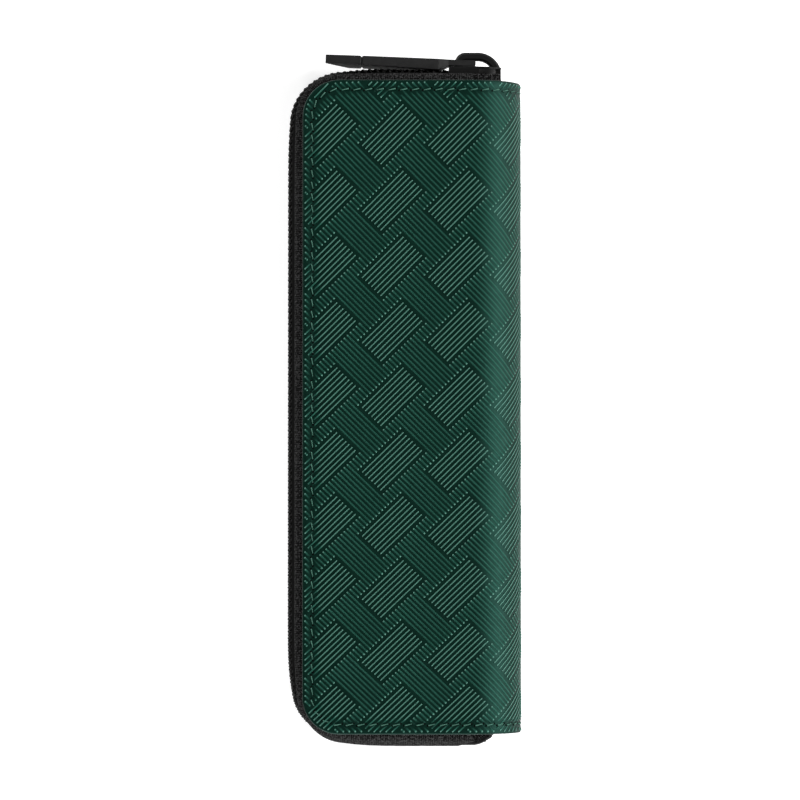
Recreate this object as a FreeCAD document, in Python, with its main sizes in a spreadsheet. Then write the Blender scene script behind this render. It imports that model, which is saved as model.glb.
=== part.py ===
"""Zip-round leather case for two fountain pens.

The case lies on its back: +Z is up through its thickness, +Y points to the end where the
zip pull rests when the case is shut, and +X points to the rounded spine. The origin is on
the resting face, at the middle of the leather outline. All sizes are in millimetres.
"""
import FreeCAD
import Part
import math
import operator
import os
import Sketcher
from FreeCAD import Placement, Rotation, Vector

SIZES = [
    ("case_length", 160.0, "leather, from end to end"),
    ("case_width", 53.6, "leather, from its free edge to the outside of the spine"),
    ("case_depth", 24.0, "from the back face to the front face"),
    ("corner_radius", 9.0, "the two free corners of each cover"),
    ("leather", 1.4, "thickness of the covers"),
    ("stiffener", 0.8, "thickness of the bonded board under the leather"),
    ("stiffener_gap", 0.2, "between the stiffener and the edge of the zip tape"),
    ("lining", 0.6, "thickness of the lining"),
    ("lining_inset", 1.0, "lining back from the leather's edge"),
    ("hinge_gap", 0.3, "between the two halves of the spine"),
    ("seam", 5.0, "zip tape sewn under the leather's edge"),
    ("tape", 0.8, "thickness of the zip tape"),
    ("tape_stand", 2.0, "outer face of the tape outside the leather's edge"),
    ("tape_split", 1.6, "between the edges of the two tapes"),
    ("tape_end", 0.5, "tape short of the slider's nose"),
    ("foot_turn", 4.2, "radius at which the closed end of the zip turns in"),
    ("tape_rise", 1.8, "lower edge of the tape above the lining, beside the spine"),
    ("coil_height", 1.4, "coil, out from the tape"),
    ("coil_width", 3.8, "both halves of the coil when meshed"),
    ("coil_overlap", 0.4, "each row of teeth past the middle of the zip"),
    ("rail_width", 1.1, "the part of each coil that is sewn to its tape"),
    ("tooth_pitch", 1.55, "from tooth to tooth along one row"),
    ("tooth_gap", 0.2, "from a tooth to its neighbour in the other row"),
    ("tooth_inset", 0.15, "teeth back from the rail's outer and inner faces"),
    ("stop_length", 1.3, "zip stops, along the zip"),
    ("stop_height", 1.0, "zip stops, out from the tape"),
    ("stop_gap", 0.3, "zip stops, from what is next along the zip"),
    ("slider_setback", 4.8, "spine to the slider's nose"),
    ("slider_length", 12.9, "slider, from nose to tail"),
    ("nose_width", 8.6, "slider at its shoulders"),
    ("tail_width", 6.6, "slider at its tail"),
    ("nose_taper", 3.0, "shoulders back from the nose"),
    ("outer_plate", 0.65, "thickness of the slider's outer plate"),
    ("crown_length", 5.4, "level part of the outer plate's top, from the tail"),
    ("nose_drop", 0.3, "outer plate's top at the nose below its level part"),
    ("inner_plate", 0.7, "thickness of the slider's inner plate"),
    ("slider_clearance", 0.2, "slider from the zip, all round"),
    ("post_length", 3.0, "post between the slider's plates"),
    ("post_point", 2.0, "tapered part of the post"),
    ("post_inset", 0.6, "post back from the slider's nose"),
    ("bail_span", 11.3, "bail's arch, over its two feet"),
    ("bail_bar", 2.0, "thickness of the bail's bar"),
    ("bail_leg", 2.3, "thickness of the bail's leg at the nose"),
    ("bail_width", 2.6, "width of the bail's bar"),
    ("bail_hook", 2.6, "outer radius of the bail's bend above the tail"),
    ("bail_bend", 5.65, "start of the bail's long bend, back from its foot at the nose"),
    ("bail_bevel", 0.5, "bevels along the bail's edges"),
    ("bail_inset", 0.1, "foot of the bail back from the slider's nose"),
    ("pull_reach", 36.7, "bar of the pull's eye to the tip of the pull"),
    ("pull_width", 10.0, "zip pull at its end piece"),
    ("pull_thickness", 2.1, "zip pull at its end piece"),
    ("heel_width", 7.6, "zip pull where it starts to thin to its eye"),
    ("heel_thickness", 2.6, "zip pull where it starts to thin to its eye"),
    ("pull_slope", 2.5, "length over which the pull thins to its eye"),
    ("tip_length", 9.2, "end piece of the pull"),
    ("tip_slant", 6.0, "end of the pull, longer at its front side than at its back"),
    ("tip_groove", 0.35, "bevels where the end piece meets the pull"),
    ("tip_round", 0.4, "rounding of the corners at the end of the pull"),
    ("eye_width", 6.0, "eye of the pull"),
    ("eye_thickness", 1.4, "eye of the pull"),
    ("eye_bar", 1.3, "diameter of the bar across the eye"),
    ("eye_set", 1.2, "bar of the eye back from the middle of the bail"),
    ("pull_clearance", 0.15, "eye of the pull from the bail and the slider"),
    ("pull_tilt", 1.9, "degrees, the pull's rest above the line of the zip"),
    ("loop_width", 15.5, "inside of a pen loop, across"),
    ("loop_headroom", 1.4, "top of the pen loops to the front lining"),
    ("loop_wall", 1.0, "leather of the pen loops"),
    ("loop_length", 36.0, "pen loops, along the pens"),
    ("loop_offset", 18.0, "middle of the pen loops from the middle of the case"),
    ("loop_space", 1.5, "between the two pen loops"),
    ("patch", 1.0, "thickness of the patch under the pen loops"),
    ("patch_margin", 1.3, "patch beyond the loops at each side"),
    ("patch_hem", 5.0, "patch beyond the loops at each end"),
    ("patch_corner", 4.0, "corner radius of the patch"),
    ("edge_break", 0.3, "rounding of the slider's edges"),
]

# Middle of the first tooth, as a share of the step from tooth to tooth
TOOTH_PHASE = {"back": 0.25, "front": 0.75}

doc = FreeCAD.newDocument("pen_case")
sheet = doc.addObject("Spreadsheet::Sheet", "sizes")


class Size:
    """A length as its number and as the expression that gives it from the sheet."""

    def __init__(self, value, text):
        self.value = value
        self.text = text

    def joined(self, sign, work, other):
        other = as_size(other)
        return Size(work(self.value, other.value), f"({self.text} {sign} {other.text})")

    def __add__(self, other):
        return self.joined("+", operator.add, other)

    def __sub__(self, other):
        return self.joined("-", operator.sub, other)

    def __mul__(self, other):
        return self.joined("*", operator.mul, other)

    def __truediv__(self, other):
        return self.joined("/", operator.truediv, other)

    def __neg__(self):
        return as_size(0) - self

    def half(self):
        return self / 2


def as_size(number):
    return number if isinstance(number, Size) else Size(float(number), repr(float(number)))


def larger(first, second):
    return Size(max(first.value, second.value), f"max({first.text}; {second.text})")


def fill_sheet():
    """Write the driving sizes to the sheet and return them by name."""
    for row, (name, value, meaning) in enumerate(SIZES, start=1):
        sheet.set(f"A{row}", name)
        sheet.set(f"B{row}", str(value))
        sheet.set(f"C{row}", meaning)
        sheet.setAlias(f"B{row}", name)
    doc.recompute()
    return {name: Size(float(sheet.get(name)), f"sizes.{name}") for name, _, _ in SIZES}


S = fill_sheet()

# Places that several pieces share
FREE_EDGE = -S["case_width"].half()
SPINE = S["case_width"].half()
END = S["case_length"].half()
MIDDLE = S["case_depth"].half()
SPINE_RADIUS = MIDDLE - S["hinge_gap"].half()
SPINE_CENTRE = SPINE - SPINE_RADIUS
LINING_DEPTH = S["leather"] + larger(S["stiffener"], S["tape"])
INSIDE_DEPTH = LINING_DEPTH + S["lining"]
TAPE_OUT = END + S["tape_stand"]
TAPE_IN = TAPE_OUT - S["tape"]
COIL_OUT = TAPE_OUT + S["coil_height"]
NOSE = SPINE - S["slider_setback"]
TAIL = NOSE - S["slider_length"]
POST_END = NOSE - S["post_inset"]
POST_START = POST_END - S["post_length"]
STOP_END = POST_START - S["stop_gap"]
STOP_START = STOP_END - S["stop_length"]
COIL_END = STOP_START - S["stop_gap"]
PLATE_LOW = COIL_OUT + S["slider_clearance"]
PLATE_TOP = PLATE_LOW + S["outer_plate"]
EYE_LOW = PLATE_TOP + S["pull_clearance"]
EYE_TOP = EYE_LOW + S["eye_thickness"]
CROWN_END = TAIL + S["crown_length"]
NOSE_TOP = PLATE_TOP - S["nose_drop"]
BAIL_TOP = EYE_TOP + S["pull_clearance"] + S["bail_bar"]
BAIL_NOSE = NOSE - S["bail_inset"]
BAIL_TAIL = BAIL_NOSE - S["bail_span"]
PIVOT_X = (BAIL_NOSE + BAIL_TAIL).half() - S["eye_set"]
PIVOT_Y = EYE_LOW + S["eye_thickness"].half()
HALF_LOOP = S["loop_width"].half() + S["loop_wall"]
LOOPS_X = (FREE_EDGE + S["lining_inset"] + SPINE_CENTRE).half()
LOOP_TOP = S["case_depth"] - INSIDE_DEPTH - S["loop_headroom"]
PATCH_TOP = INSIDE_DEPTH + S["patch"]


def new_body(label):
    body = doc.addObject("PartDesign::Body", label)
    body.Label = label
    return body


def bind(item, name, size):
    """Set a size of a feature and tie it to the sheet."""
    size = as_size(size)
    setattr(item, name, size.value)
    item.setExpression(name, size.text)


def new_sketch(body, plane, shift=(0, 0, 0)):
    """Sketch on one of the body's own planes, shifted along its two axes and its normal."""
    sketch = body.newObject("Sketcher::SketchObject", f"{body.Label}_sketch")
    role = f"{plane}_Plane"
    sketch.AttachmentSupport = [f for f in body.Origin.OriginFeatures if f.Role == role][0]
    sketch.MapMode = "FlatFace"
    shift = [as_size(part) for part in shift]
    sketch.AttachmentOffset = Placement(Vector(*[part.value for part in shift]), Rotation())
    for axis, part in zip("xyz", shift):
        sketch.setExpression(f"AttachmentOffset.Base.{axis}", part.text)
    return sketch


def fix(sketch, kind, places, size):
    """Add one dimension to a sketch and tie it to the sheet."""
    index = sketch.addConstraint(Sketcher.Constraint(kind, *places, size.value))
    sketch.setExpression(f"Constraints[{index}]", size.text)


def draw(sketch, corners, arcs=None, closed=True):
    """Draw an outline through the corners.

    arcs gives, for the number of a corner that an arc starts at, its radius and its centre.
    """
    arcs = arcs or {}
    corners = [(as_size(a), as_size(b)) for a, b in corners]
    points = [Vector(a.value, b.value, 0) for a, b in corners]
    count = len(points) if closed else len(points) - 1
    ends = []
    for number in range(count):
        start, end = points[number], points[(number + 1) % len(points)]
        if number not in arcs:
            line = sketch.addGeometry(Part.LineSegment(start, end), False)
            ends.append(((line, 1), (line, 2)))
            continue
        radius, centre = arcs[number]
        middle = Vector(as_size(centre[0]).value, as_size(centre[1]).value, 0)
        turns_left = (start - middle).cross(end - middle).z > 0
        first, last = (start, end) if turns_left else (end, start)
        angles = [math.atan2(p.y - middle.y, p.x - middle.x) for p in (first, last)]
        circle = Part.Circle(middle, Vector(0, 0, 1), radius.value)
        arc = sketch.addGeometry(Part.ArcOfCircle(circle, *angles), False)
        ends.append(((arc, 1), (arc, 2)) if turns_left else ((arc, 2), (arc, 1)))
        fix(sketch, "Radius", (arc,), radius)
    for number in range(count if closed else count - 1):
        following = ends[(number + 1) % count][0]
        sketch.addConstraint(Sketcher.Constraint("Coincident", *ends[number][1], *following))
    places = [first for first, _ in ends] + ([] if closed else [ends[-1][1]])
    for place, (across, up) in zip(places, corners):
        fix(sketch, "DistanceX", (-1, 1, *place), across)
        fix(sketch, "DistanceY", (-1, 1, *place), up)


def draw_rectangle(sketch, low, high):
    draw(sketch, [low, (high[0], low[1]), high, (low[0], high[1])])


def draw_circle(sketch, centre, radius):
    middle = Vector(centre[0].value, centre[1].value, 0)
    circle = sketch.addGeometry(Part.Circle(middle, Vector(0, 0, 1), radius.value), False)
    fix(sketch, "Radius", (circle,), radius)
    fix(sketch, "DistanceX", (-1, 1, circle, 3), centre[0])
    fix(sketch, "DistanceY", (-1, 1, circle, 3), centre[1])


def extrude(body, kind, sketch, length, symmetric=False, backwards=False):
    """Pad or Pocket a sketch."""
    feature = body.newObject(f"PartDesign::{kind}", f"{body.Label}_{kind.lower()}")
    feature.Profile = sketch
    feature.SideType = "Symmetric" if symmetric else "One side"
    feature.Reversed = backwards
    bind(feature, "Length", length)
    doc.recompute()
    return feature


def turn(body, sketch, angle, symmetric=False):
    """Revolve a sketch about its own upright axis."""
    feature = body.newObject("PartDesign::Revolution", f"{body.Label}_turn")
    feature.Profile = sketch
    feature.ReferenceAxis = (sketch, ["V_Axis"])
    feature.Midplane = symmetric
    feature.Angle = angle
    doc.recompute()
    return feature


def break_edges(body, kind, wanted, size):
    """Fillet or Chamfer the edges of the body that are wanted, by their two end points."""
    base = body.Tip
    names = []
    for number, edge in enumerate(base.Shape.Edges, start=1):
        if wanted(edge.Vertexes[0].Point, edge.Vertexes[-1].Point):
            names.append(f"Edge{number}")
    feature = body.newObject(f"PartDesign::{kind}", f"{body.Label}_{kind.lower()}")
    feature.Base = (base, names)
    bind(feature, "Radius" if kind == "Fillet" else "Size", size)
    doc.recompute()
    return feature


def near(first, second):
    return abs(first - second) < 1e-4


def both_at(axis, size):
    """Test for an edge whose ends both lie at one place along an axis."""
    return lambda first, last: all(near(getattr(p, axis), size.value) for p in (first, last))


def upright(first, last):
    return near(first.x, last.x) and near(first.y, last.y)


def level(side, depth):
    """Height of something that lies depth in from the outside of the back or the front."""
    return depth if side == "back" else S["case_depth"] - depth


def cover_layer(side, name, depth, thickness, edge_inset, end_inset):
    """One layer of a cover: a flat panel that runs on into half of the rounded spine."""
    body = new_body(f"{side}_{name}")
    inner = depth + thickness
    free = FREE_EDGE + edge_inset
    split = level(side, SPINE_RADIUS)
    centre = (SPINE_CENTRE, split)
    sketch = new_sketch(body, "XZ")
    corners = [
        (free, level(side, depth)),
        (SPINE_CENTRE, level(side, depth)),
        (SPINE - depth, split),
        (SPINE - inner, split),
        (SPINE_CENTRE, level(side, inner)),
        (free, level(side, inner)),
    ]
    arcs = {1: (SPINE_RADIUS - depth, centre), 3: (SPINE_RADIUS - inner, centre)}
    draw(sketch, corners, arcs)
    extrude(body, "Pad", sketch, S["case_length"] - end_inset * 2, symmetric=True)
    at_free_edge = both_at("x", free)
    break_edges(
        body,
        "Fillet",
        lambda first, last: upright(first, last) and at_free_edge(first, last),
        larger(S["corner_radius"] - edge_inset, S["tape"]),
    )
    return body


def zip_line(body):
    """The leather's edge round its three straight sides, as a path."""
    path = new_sketch(body, "XY")
    radius = S["corner_radius"]
    bend = FREE_EDGE + radius
    corners = [
        (SPINE_CENTRE, END),
        (bend, END),
        (FREE_EDGE, END - radius),
        (FREE_EDGE, radius - END),
        (bend, -END),
        (SPINE_CENTRE, -END),
    ]
    arcs = {1: (radius, (bend, END - radius)), 3: (radius, (bend, radius - END))}
    draw(path, corners, arcs, closed=False)
    return path


def zip_tape(side):
    """Woven tape, sewn flat under the leather and turned up to a wall.

    Beside the spine only the wall runs on: straight at the pull's end, tucked in at the foot.
    """
    body = new_body(f"{side}_zip_tape")
    path = zip_line(body)
    stand, thick, base = S["tape_stand"], S["tape"], S["leather"]
    edge = level(side, MIDDLE - S["tape_split"].half())
    bend = level(side, base + stand)
    profile = new_sketch(body, "YZ", (0, 0, SPINE_CENTRE))
    corners = [
        (END - S["seam"], level(side, base)),
        (END, level(side, base)),
        (TAPE_OUT, bend),
        (TAPE_OUT, edge),
        (TAPE_IN, edge),
        (TAPE_IN, bend),
        (END, level(side, base + thick)),
        (END - S["seam"], level(side, base + thick)),
    ]
    draw(profile, corners, {1: (stand, (END, bend)), 5: (stand - thick, (END, bend))})
    pipe = body.newObject("PartDesign::AdditivePipe", f"{body.Label}_pipe")
    pipe.Profile = profile
    pipe.Spine = path
    doc.recompute()
    wall = (level(side, INSIDE_DEPTH + S["tape_rise"]), edge)
    low, high = wall if side == "back" else reversed(wall)
    run_on = new_sketch(body, "YZ", (0, 0, SPINE_CENTRE))
    draw_rectangle(run_on, (TAPE_IN, low), (TAPE_OUT, high))
    extrude(body, "Pad", run_on, NOSE - S["tape_end"] - SPINE_CENTRE)
    tuck = new_sketch(body, "YZ", (S["foot_turn"] - TAPE_OUT, 0, SPINE_CENTRE))
    draw_rectangle(tuck, (-S["foot_turn"], low), (thick - S["foot_turn"], high))
    turn(body, tuck, 90)
    return body


def zip_runs():
    """Edges of the line along the middle of the coil, from the puller end to the foot."""
    out = (S["tape_stand"] + S["coil_height"].half()).value
    radius = S["corner_radius"].value
    bend_x = FREE_EDGE.value + radius
    bend_y = END.value - radius
    reach = radius + out
    corner = reach * math.sqrt(0.5)
    turn_radius = (S["foot_turn"] + S["coil_height"].half()).value
    foot = Vector(SPINE_CENTRE.value, (S["foot_turn"] - TAPE_OUT).value, 0)
    half_turn = turn_radius * math.sqrt(0.5)
    top = Vector(bend_x, bend_y + reach, 0)
    bottom = Vector(bend_x, -bend_y - reach, 0)
    left_top = Vector(bend_x - reach, bend_y, 0)
    left_bottom = Vector(bend_x - reach, -bend_y, 0)
    turn_start = foot - Vector(0, turn_radius, 0)
    curves = [
        Part.LineSegment(Vector(COIL_END.value, top.y, 0), top),
        Part.Arc(top, Vector(bend_x - corner, bend_y + corner, 0), left_top),
        Part.LineSegment(left_top, left_bottom),
        Part.Arc(left_bottom, Vector(bend_x - corner, -bend_y - corner, 0), bottom),
        Part.LineSegment(bottom, turn_start),
        Part.Arc(
            turn_start,
            foot + Vector(half_turn, -half_turn, 0),
            foot + Vector(turn_radius, 0, 0),
        ),
    ]
    return [curve.toShape() for curve in curves]


def zip_coil(side):
    """One row of the zip: a rail sewn along the tape, with teeth that mesh with the other."""
    height = S["coil_height"].value
    deep = height - 2 * S["tooth_inset"].value
    rail = S["rail_width"].value
    rail_low = -S["coil_width"].value / 2
    tooth_low = rail_low + rail / 2
    tooth_high = S["coil_overlap"].value
    runs = zip_runs()
    start = runs[0].valueAt(runs[0].FirstParameter)
    section = Part.makePolygon([
        start + Vector(0, -height / 2, rail_low),
        start + Vector(0, height / 2, rail_low),
        start + Vector(0, height / 2, rail_low + rail),
        start + Vector(0, -height / 2, rail_low + rail),
        start + Vector(0, -height / 2, rail_low),
    ])
    body = Part.Wire(runs).makePipeShell([section], True, False)
    teeth = []
    for run in runs:
        count = max(1, round(run.Length / S["tooth_pitch"].value))
        step = run.Length / count
        thick = step / 2 - S["tooth_gap"].value
        for number in range(count):
            place = run.getParameterByLength((number + TOOTH_PHASE[side]) * step)
            along = run.tangentAt(place)
            box = Part.makeBox(
                thick, deep, tooth_high - tooth_low, Vector(-thick / 2, -deep / 2, tooth_low)
            )
            turned = Rotation(Vector(0, 0, 1), math.degrees(math.atan2(along.y, along.x)))
            box.Placement = Placement(run.valueAt(place), turned)
            teeth.append(box)
    row = body.multiFuse(teeth).removeSplitter()
    if side == "front":
        row = row.mirror(Vector(0, 0, 0), Vector(0, 0, 1))
    feature = doc.addObject("Part::Feature", f"{side}_zip_coil")
    feature.Shape = row
    feature.Placement = Placement(Vector(0, 0, MIDDLE.value), Rotation())
    return feature


def top_stop(side):
    """Small block at the open end of one row, beside the slider's post."""
    body = new_body(f"{side}_top_stop")
    edge = MIDDLE - S["tape_split"].half()
    sketch = new_sketch(body, "XY", (0, 0, level(side, edge - S["rail_width"])))
    draw_rectangle(
        sketch, (STOP_START, TAPE_OUT), (STOP_END, TAPE_OUT + S["stop_height"])
    )
    extrude(body, "Pad", sketch, S["rail_width"], backwards=side == "front")
    return body


def bottom_stop():
    """Block at the closed end of the zip, on the turned-in tape."""
    body = new_body("zip_bottom_stop")
    face = SPINE_CENTRE + S["foot_turn"]
    start = S["foot_turn"] - TAPE_OUT + S["stop_gap"]
    sketch = new_sketch(body, "XY", (0, 0, MIDDLE - S["coil_width"].half()))
    draw_rectangle(
        sketch, (face - S["tape"], start), (face + S["stop_height"], start + S["stop_length"])
    )
    extrude(body, "Pad", sketch, S["coil_width"])
    return body


def slider_outline(sketch):
    """Plan of the slider: narrow at the tail, widest at the shoulders, drawn in at the nose."""
    shoulder = NOSE - S["nose_taper"]
    tail, wide = S["tail_width"].half(), S["nose_width"].half()
    sides = [(TAIL, tail), (shoulder, wide), (NOSE, tail)]
    corners = [(x, MIDDLE - z) for x, z in sides] + [(x, MIDDLE + z) for x, z in reversed(sides)]
    draw(sketch, corners)


def slider_flanges(sketch):
    """Side walls that hold the coils in line, from the tail to the end of the coils."""
    inside = S["coil_width"].half() + S["slider_clearance"]
    tail, wide = S["tail_width"].half(), S["nose_width"].half()
    share = (COIL_END - TAIL) / (NOSE - S["nose_taper"] - TAIL)
    front = tail + (wide - tail) * share
    wall = [(TAIL, inside), (COIL_END, inside), (COIL_END, front), (TAIL, tail)]
    draw(sketch, [(x, MIDDLE + z) for x, z in wall])
    draw(sketch, [(x, MIDDLE - z) for x, z in wall])


def arch(across, up):
    """Radius of an arc that leaves its crest level and comes down by up over that way across."""
    return (across * across + up * up) / (up * 2)


def nose_slope(x):
    """Height of the outer plate's top, where it falls from its level part to the nose."""
    return PLATE_TOP - S["nose_drop"] * (x - CROWN_END) / (NOSE - CROWN_END)


def slider_body():
    """Two plates joined by a post, with flanges under the outer plate, which thins to the nose."""
    body = new_body("slider_body")
    outer = new_sketch(body, "XZ", (0, 0, -PLATE_TOP))
    slider_outline(outer)
    extrude(body, "Pad", outer, S["outer_plate"])
    break_edges(body, "Fillet", both_at("y", PLATE_TOP), S["edge_break"])
    slope = new_sketch(body, "XY", (0, 0, MIDDLE))
    draw(slope, [(CROWN_END, PLATE_TOP), (NOSE, NOSE_TOP), (NOSE, PLATE_TOP)])
    extrude(body, "Pocket", slope, S["nose_width"] * 2, symmetric=True)
    flanges = new_sketch(body, "XZ", (0, 0, -PLATE_LOW))
    slider_flanges(flanges)
    extrude(body, "Pad", flanges, S["coil_height"])
    post = new_sketch(body, "XZ", (0, 0, -PLATE_LOW))
    half_post = S["tape_split"].half() - S["slider_clearance"]
    blunt = POST_START + S["post_point"]
    draw(post, [
        (POST_START, MIDDLE),
        (blunt, MIDDLE - half_post),
        (POST_END, MIDDLE - half_post),
        (POST_END, MIDDLE + half_post),
        (blunt, MIDDLE + half_post),
    ])
    plate_gap = PLATE_LOW - TAPE_IN + S["slider_clearance"]
    extrude(body, "Pad", post, plate_gap)
    inner = new_sketch(body, "XZ", (0, 0, S["slider_clearance"] - TAPE_IN))
    slider_outline(inner)
    extrude(body, "Pad", inner, S["inner_plate"])
    return body


def slider_bail():
    """Hooked bar on the outer plate, which the eye of the pull rides on."""
    body = new_body("slider_bail")
    hook, bar = S["bail_hook"], S["bail_bar"]
    under = BAIL_TOP - bar
    leg = BAIL_NOSE - S["bail_leg"]
    crest = BAIL_NOSE - S["bail_bend"]
    hook_centre = (BAIL_TAIL + hook, BAIL_TOP - hook)
    outer_foot, inner_foot = nose_slope(BAIL_NOSE), nose_slope(leg)
    outer = arch(BAIL_NOSE - crest, BAIL_TOP - outer_foot)
    inner = arch(leg - crest, under - inner_foot)
    side = new_sketch(body, "XY", (0, 0, MIDDLE))
    corners = [
        (BAIL_TAIL, PLATE_TOP),
        (BAIL_TAIL, BAIL_TOP - hook),
        (BAIL_TAIL + hook, BAIL_TOP),
        (crest, BAIL_TOP),
        (BAIL_NOSE, outer_foot),
        (leg, inner_foot),
        (crest, under),
        (BAIL_TAIL + hook, under),
        (BAIL_TAIL + bar, BAIL_TOP - hook),
        (BAIL_TAIL + bar, PLATE_TOP),
    ]
    draw(side, corners, {
        1: (hook, hook_centre),
        3: (outer, (crest, BAIL_TOP - outer)),
        5: (inner, (crest, under - inner)),
        7: (hook - bar, hook_centre),
    })
    extrude(body, "Pad", side, S["bail_width"], symmetric=True)
    at_top, at_under = both_at("y", BAIL_TOP), both_at("y", under)
    break_edges(
        body,
        "Chamfer",
        lambda first, last: near(first.z, last.z) and (at_top(first, last) or at_under(first, last)),
        S["bail_bevel"],
    )
    return body


def tilt(body):
    """Turn a piece of the pull about the bar of its eye, to the pull's rest."""
    turned = Rotation(Vector(0, 0, 1), -S["pull_tilt"].value)
    body.Placement = Placement(Vector(), turned, Vector(PIVOT_X.value, PIVOT_Y.value, 0))


def zip_pull():
    """Flared bar with a thinner open eye, closed by a round bar inside the bail's arch."""
    body = new_body("zip_pull")
    neck = TAIL - S["pull_clearance"].half()
    heel = neck - S["pull_slope"]
    joint = PIVOT_X - S["pull_reach"] + S["tip_length"]
    side = new_sketch(body, "XY", (0, 0, MIDDLE))
    nose = S["eye_thickness"].half()
    draw(side, [
        (joint, EYE_TOP - S["pull_thickness"]),
        (heel, EYE_TOP - S["heel_thickness"]),
        (neck, EYE_LOW),
        (PIVOT_X, EYE_LOW),
        (PIVOT_X + nose, PIVOT_Y),
        (PIVOT_X, EYE_TOP),
        (joint, EYE_TOP),
    ], {3: (nose, (PIVOT_X, PIVOT_Y)), 4: (nose, (PIVOT_X, PIVOT_Y))})
    extrude(body, "Pad", side, S["pull_width"], symmetric=True)
    break_edges(body, "Chamfer", both_at("x", joint), S["tip_groove"])
    cuts = new_sketch(body, "XZ", (0, 0, -EYE_TOP))
    hole = S["bail_width"].half() + S["pull_clearance"]
    slot = BAIL_TAIL - S["pull_clearance"]
    past = PIVOT_X + S["eye_thickness"]
    for way in (-1, 1):
        draw(cuts, [
            (joint, MIDDLE + S["pull_width"].half() * way),
            (heel, MIDDLE + S["heel_width"].half() * way),
            (neck, MIDDLE + S["eye_width"].half() * way),
            (past, MIDDLE + S["eye_width"].half() * way),
            (past, MIDDLE + S["pull_width"] * way),
            (joint, MIDDLE + S["pull_width"] * way),
        ])
    draw_rectangle(cuts, (slot, MIDDLE - hole), (past, MIDDLE + hole))
    extrude(body, "Pocket", cuts, S["heel_thickness"] * 2, backwards=True)
    rod = new_sketch(body, "XY", (0, 0, MIDDLE))
    draw_circle(rod, (PIVOT_X, PIVOT_Y), S["eye_bar"].half())
    extrude(body, "Pad", rod, S["eye_width"], symmetric=True)
    tilt(body)
    return body


def pull_tip():
    """End piece of the pull, cut off at a slant."""
    body = new_body("pull_tip")
    end = PIVOT_X - S["pull_reach"]
    joint = end + S["tip_length"]
    wide = S["pull_width"].half()
    plan = new_sketch(body, "XZ", (0, 0, -EYE_TOP))
    draw(plan, [
        (end + S["tip_slant"], MIDDLE - wide),
        (joint, MIDDLE - wide),
        (joint, MIDDLE + wide),
        (end, MIDDLE + wide),
    ])
    extrude(body, "Pad", plan, S["pull_thickness"])
    at_joint = both_at("x", joint)
    break_edges(
        body,
        "Fillet",
        lambda first, last: (
            near(first.x, last.x) and near(first.z, last.z) and not at_joint(first, last)
        ),
        S["tip_round"],
    )
    break_edges(body, "Chamfer", at_joint, S["tip_groove"])
    tilt(body)
    return body


def loop_patch():
    """Leather patch on the back lining that carries the pen loops."""
    body = new_body("loop_patch")
    half_width = HALF_LOOP * 2 + S["loop_space"].half() + S["patch_margin"]
    half_length = S["loop_length"].half() + S["patch_hem"]
    sketch = new_sketch(body, "XY", (0, 0, INSIDE_DEPTH))
    draw_rectangle(
        sketch,
        (LOOPS_X - half_width, S["loop_offset"] - half_length),
        (LOOPS_X + half_width, S["loop_offset"] + half_length),
    )
    extrude(body, "Pad", sketch, S["patch"])
    break_edges(body, "Fillet", upright, S["patch_corner"])
    return body


def pen_loop(name, step):
    """Closed leather loop with a flat foot and an arched top, open along the pen."""
    body = new_body(name)
    centre = LOOPS_X + (HALF_LOOP + S["loop_space"].half()) * step
    sketch = new_sketch(body, "XZ", (0, 0, -S["loop_offset"]))
    spring = LOOP_TOP - HALF_LOOP
    for half, foot in (
        (HALF_LOOP, PATCH_TOP),
        (S["loop_width"].half(), PATCH_TOP + S["loop_wall"]),
    ):
        crown = spring + half
        corners = [
            (centre - half, foot),
            (centre + half, foot),
            (centre + half, spring),
            (centre, crown),
            (centre - half, spring),
        ]
        draw(sketch, corners, {2: (half, (centre, spring)), 3: (half, (centre, spring))})
    extrude(body, "Pad", sketch, S["loop_length"], symmetric=True)
    return body


def build_half(side):
    """Cover, stiffener, lining and zip half of the back or the front."""
    board_inset = S["seam"] + S["stiffener_gap"]
    return [
        cover_layer(side, "cover", as_size(0), S["leather"], as_size(0), as_size(0)),
        cover_layer(side, "stiffener", S["leather"], S["stiffener"], board_inset, board_inset),
        cover_layer(
            side, "lining", LINING_DEPTH, S["lining"], S["lining_inset"], S["lining_inset"]
        ),
        zip_tape(side),
        zip_coil(side),
        top_stop(side),
    ]


def check(pieces):
    """Stop unless every object is up to date and every piece is a valid solid."""
    failed = [item.Label for item in doc.Objects if {"Invalid", "Error"} & set(item.State)]
    if failed:
        raise RuntimeError(f"failed objects: {failed}")
    for piece in pieces:
        shape = piece.Shape
        if shape.isNull() or not shape.isValid() or not shape.Solids:
            raise RuntimeError(f"{piece.Label} is not a valid solid")


def main():
    pieces = build_half("back") + build_half("front")
    pieces += [bottom_stop(), slider_body(), slider_bail(), zip_pull(), pull_tip()]
    pieces += [loop_patch(), pen_loop("pen_loop_left", -1), pen_loop("pen_loop_right", 1)]
    doc.recompute()
    check(pieces)
    os.makedirs("parts", exist_ok=True)
    for piece in pieces:
        piece.Shape.exportStep(f"parts/{piece.Label}.step")
        box = piece.Shape.BoundBox
        print(
            f"{piece.Label}: {len(piece.Shape.Solids)} solid, {piece.Shape.Volume:.1f} mm3, "
            f"x {box.XMin:.2f} {box.XMax:.2f} y {box.YMin:.2f} {box.YMax:.2f} "
            f"z {box.ZMin:.2f} {box.ZMax:.2f}"
        )


main()
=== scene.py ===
"""Looks of a zip-round leather pen case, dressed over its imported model.

The sizes here are in millimetres, and a mesh is scaled to metres as it is finished.
The case lies on its back: +X points to the spine, +Y to the pull's end, +Z to the front.
"""
import logging
import math
from collections.abc import Callable, Iterator, Sequence
from dataclasses import dataclass
from enum import Enum

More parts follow.
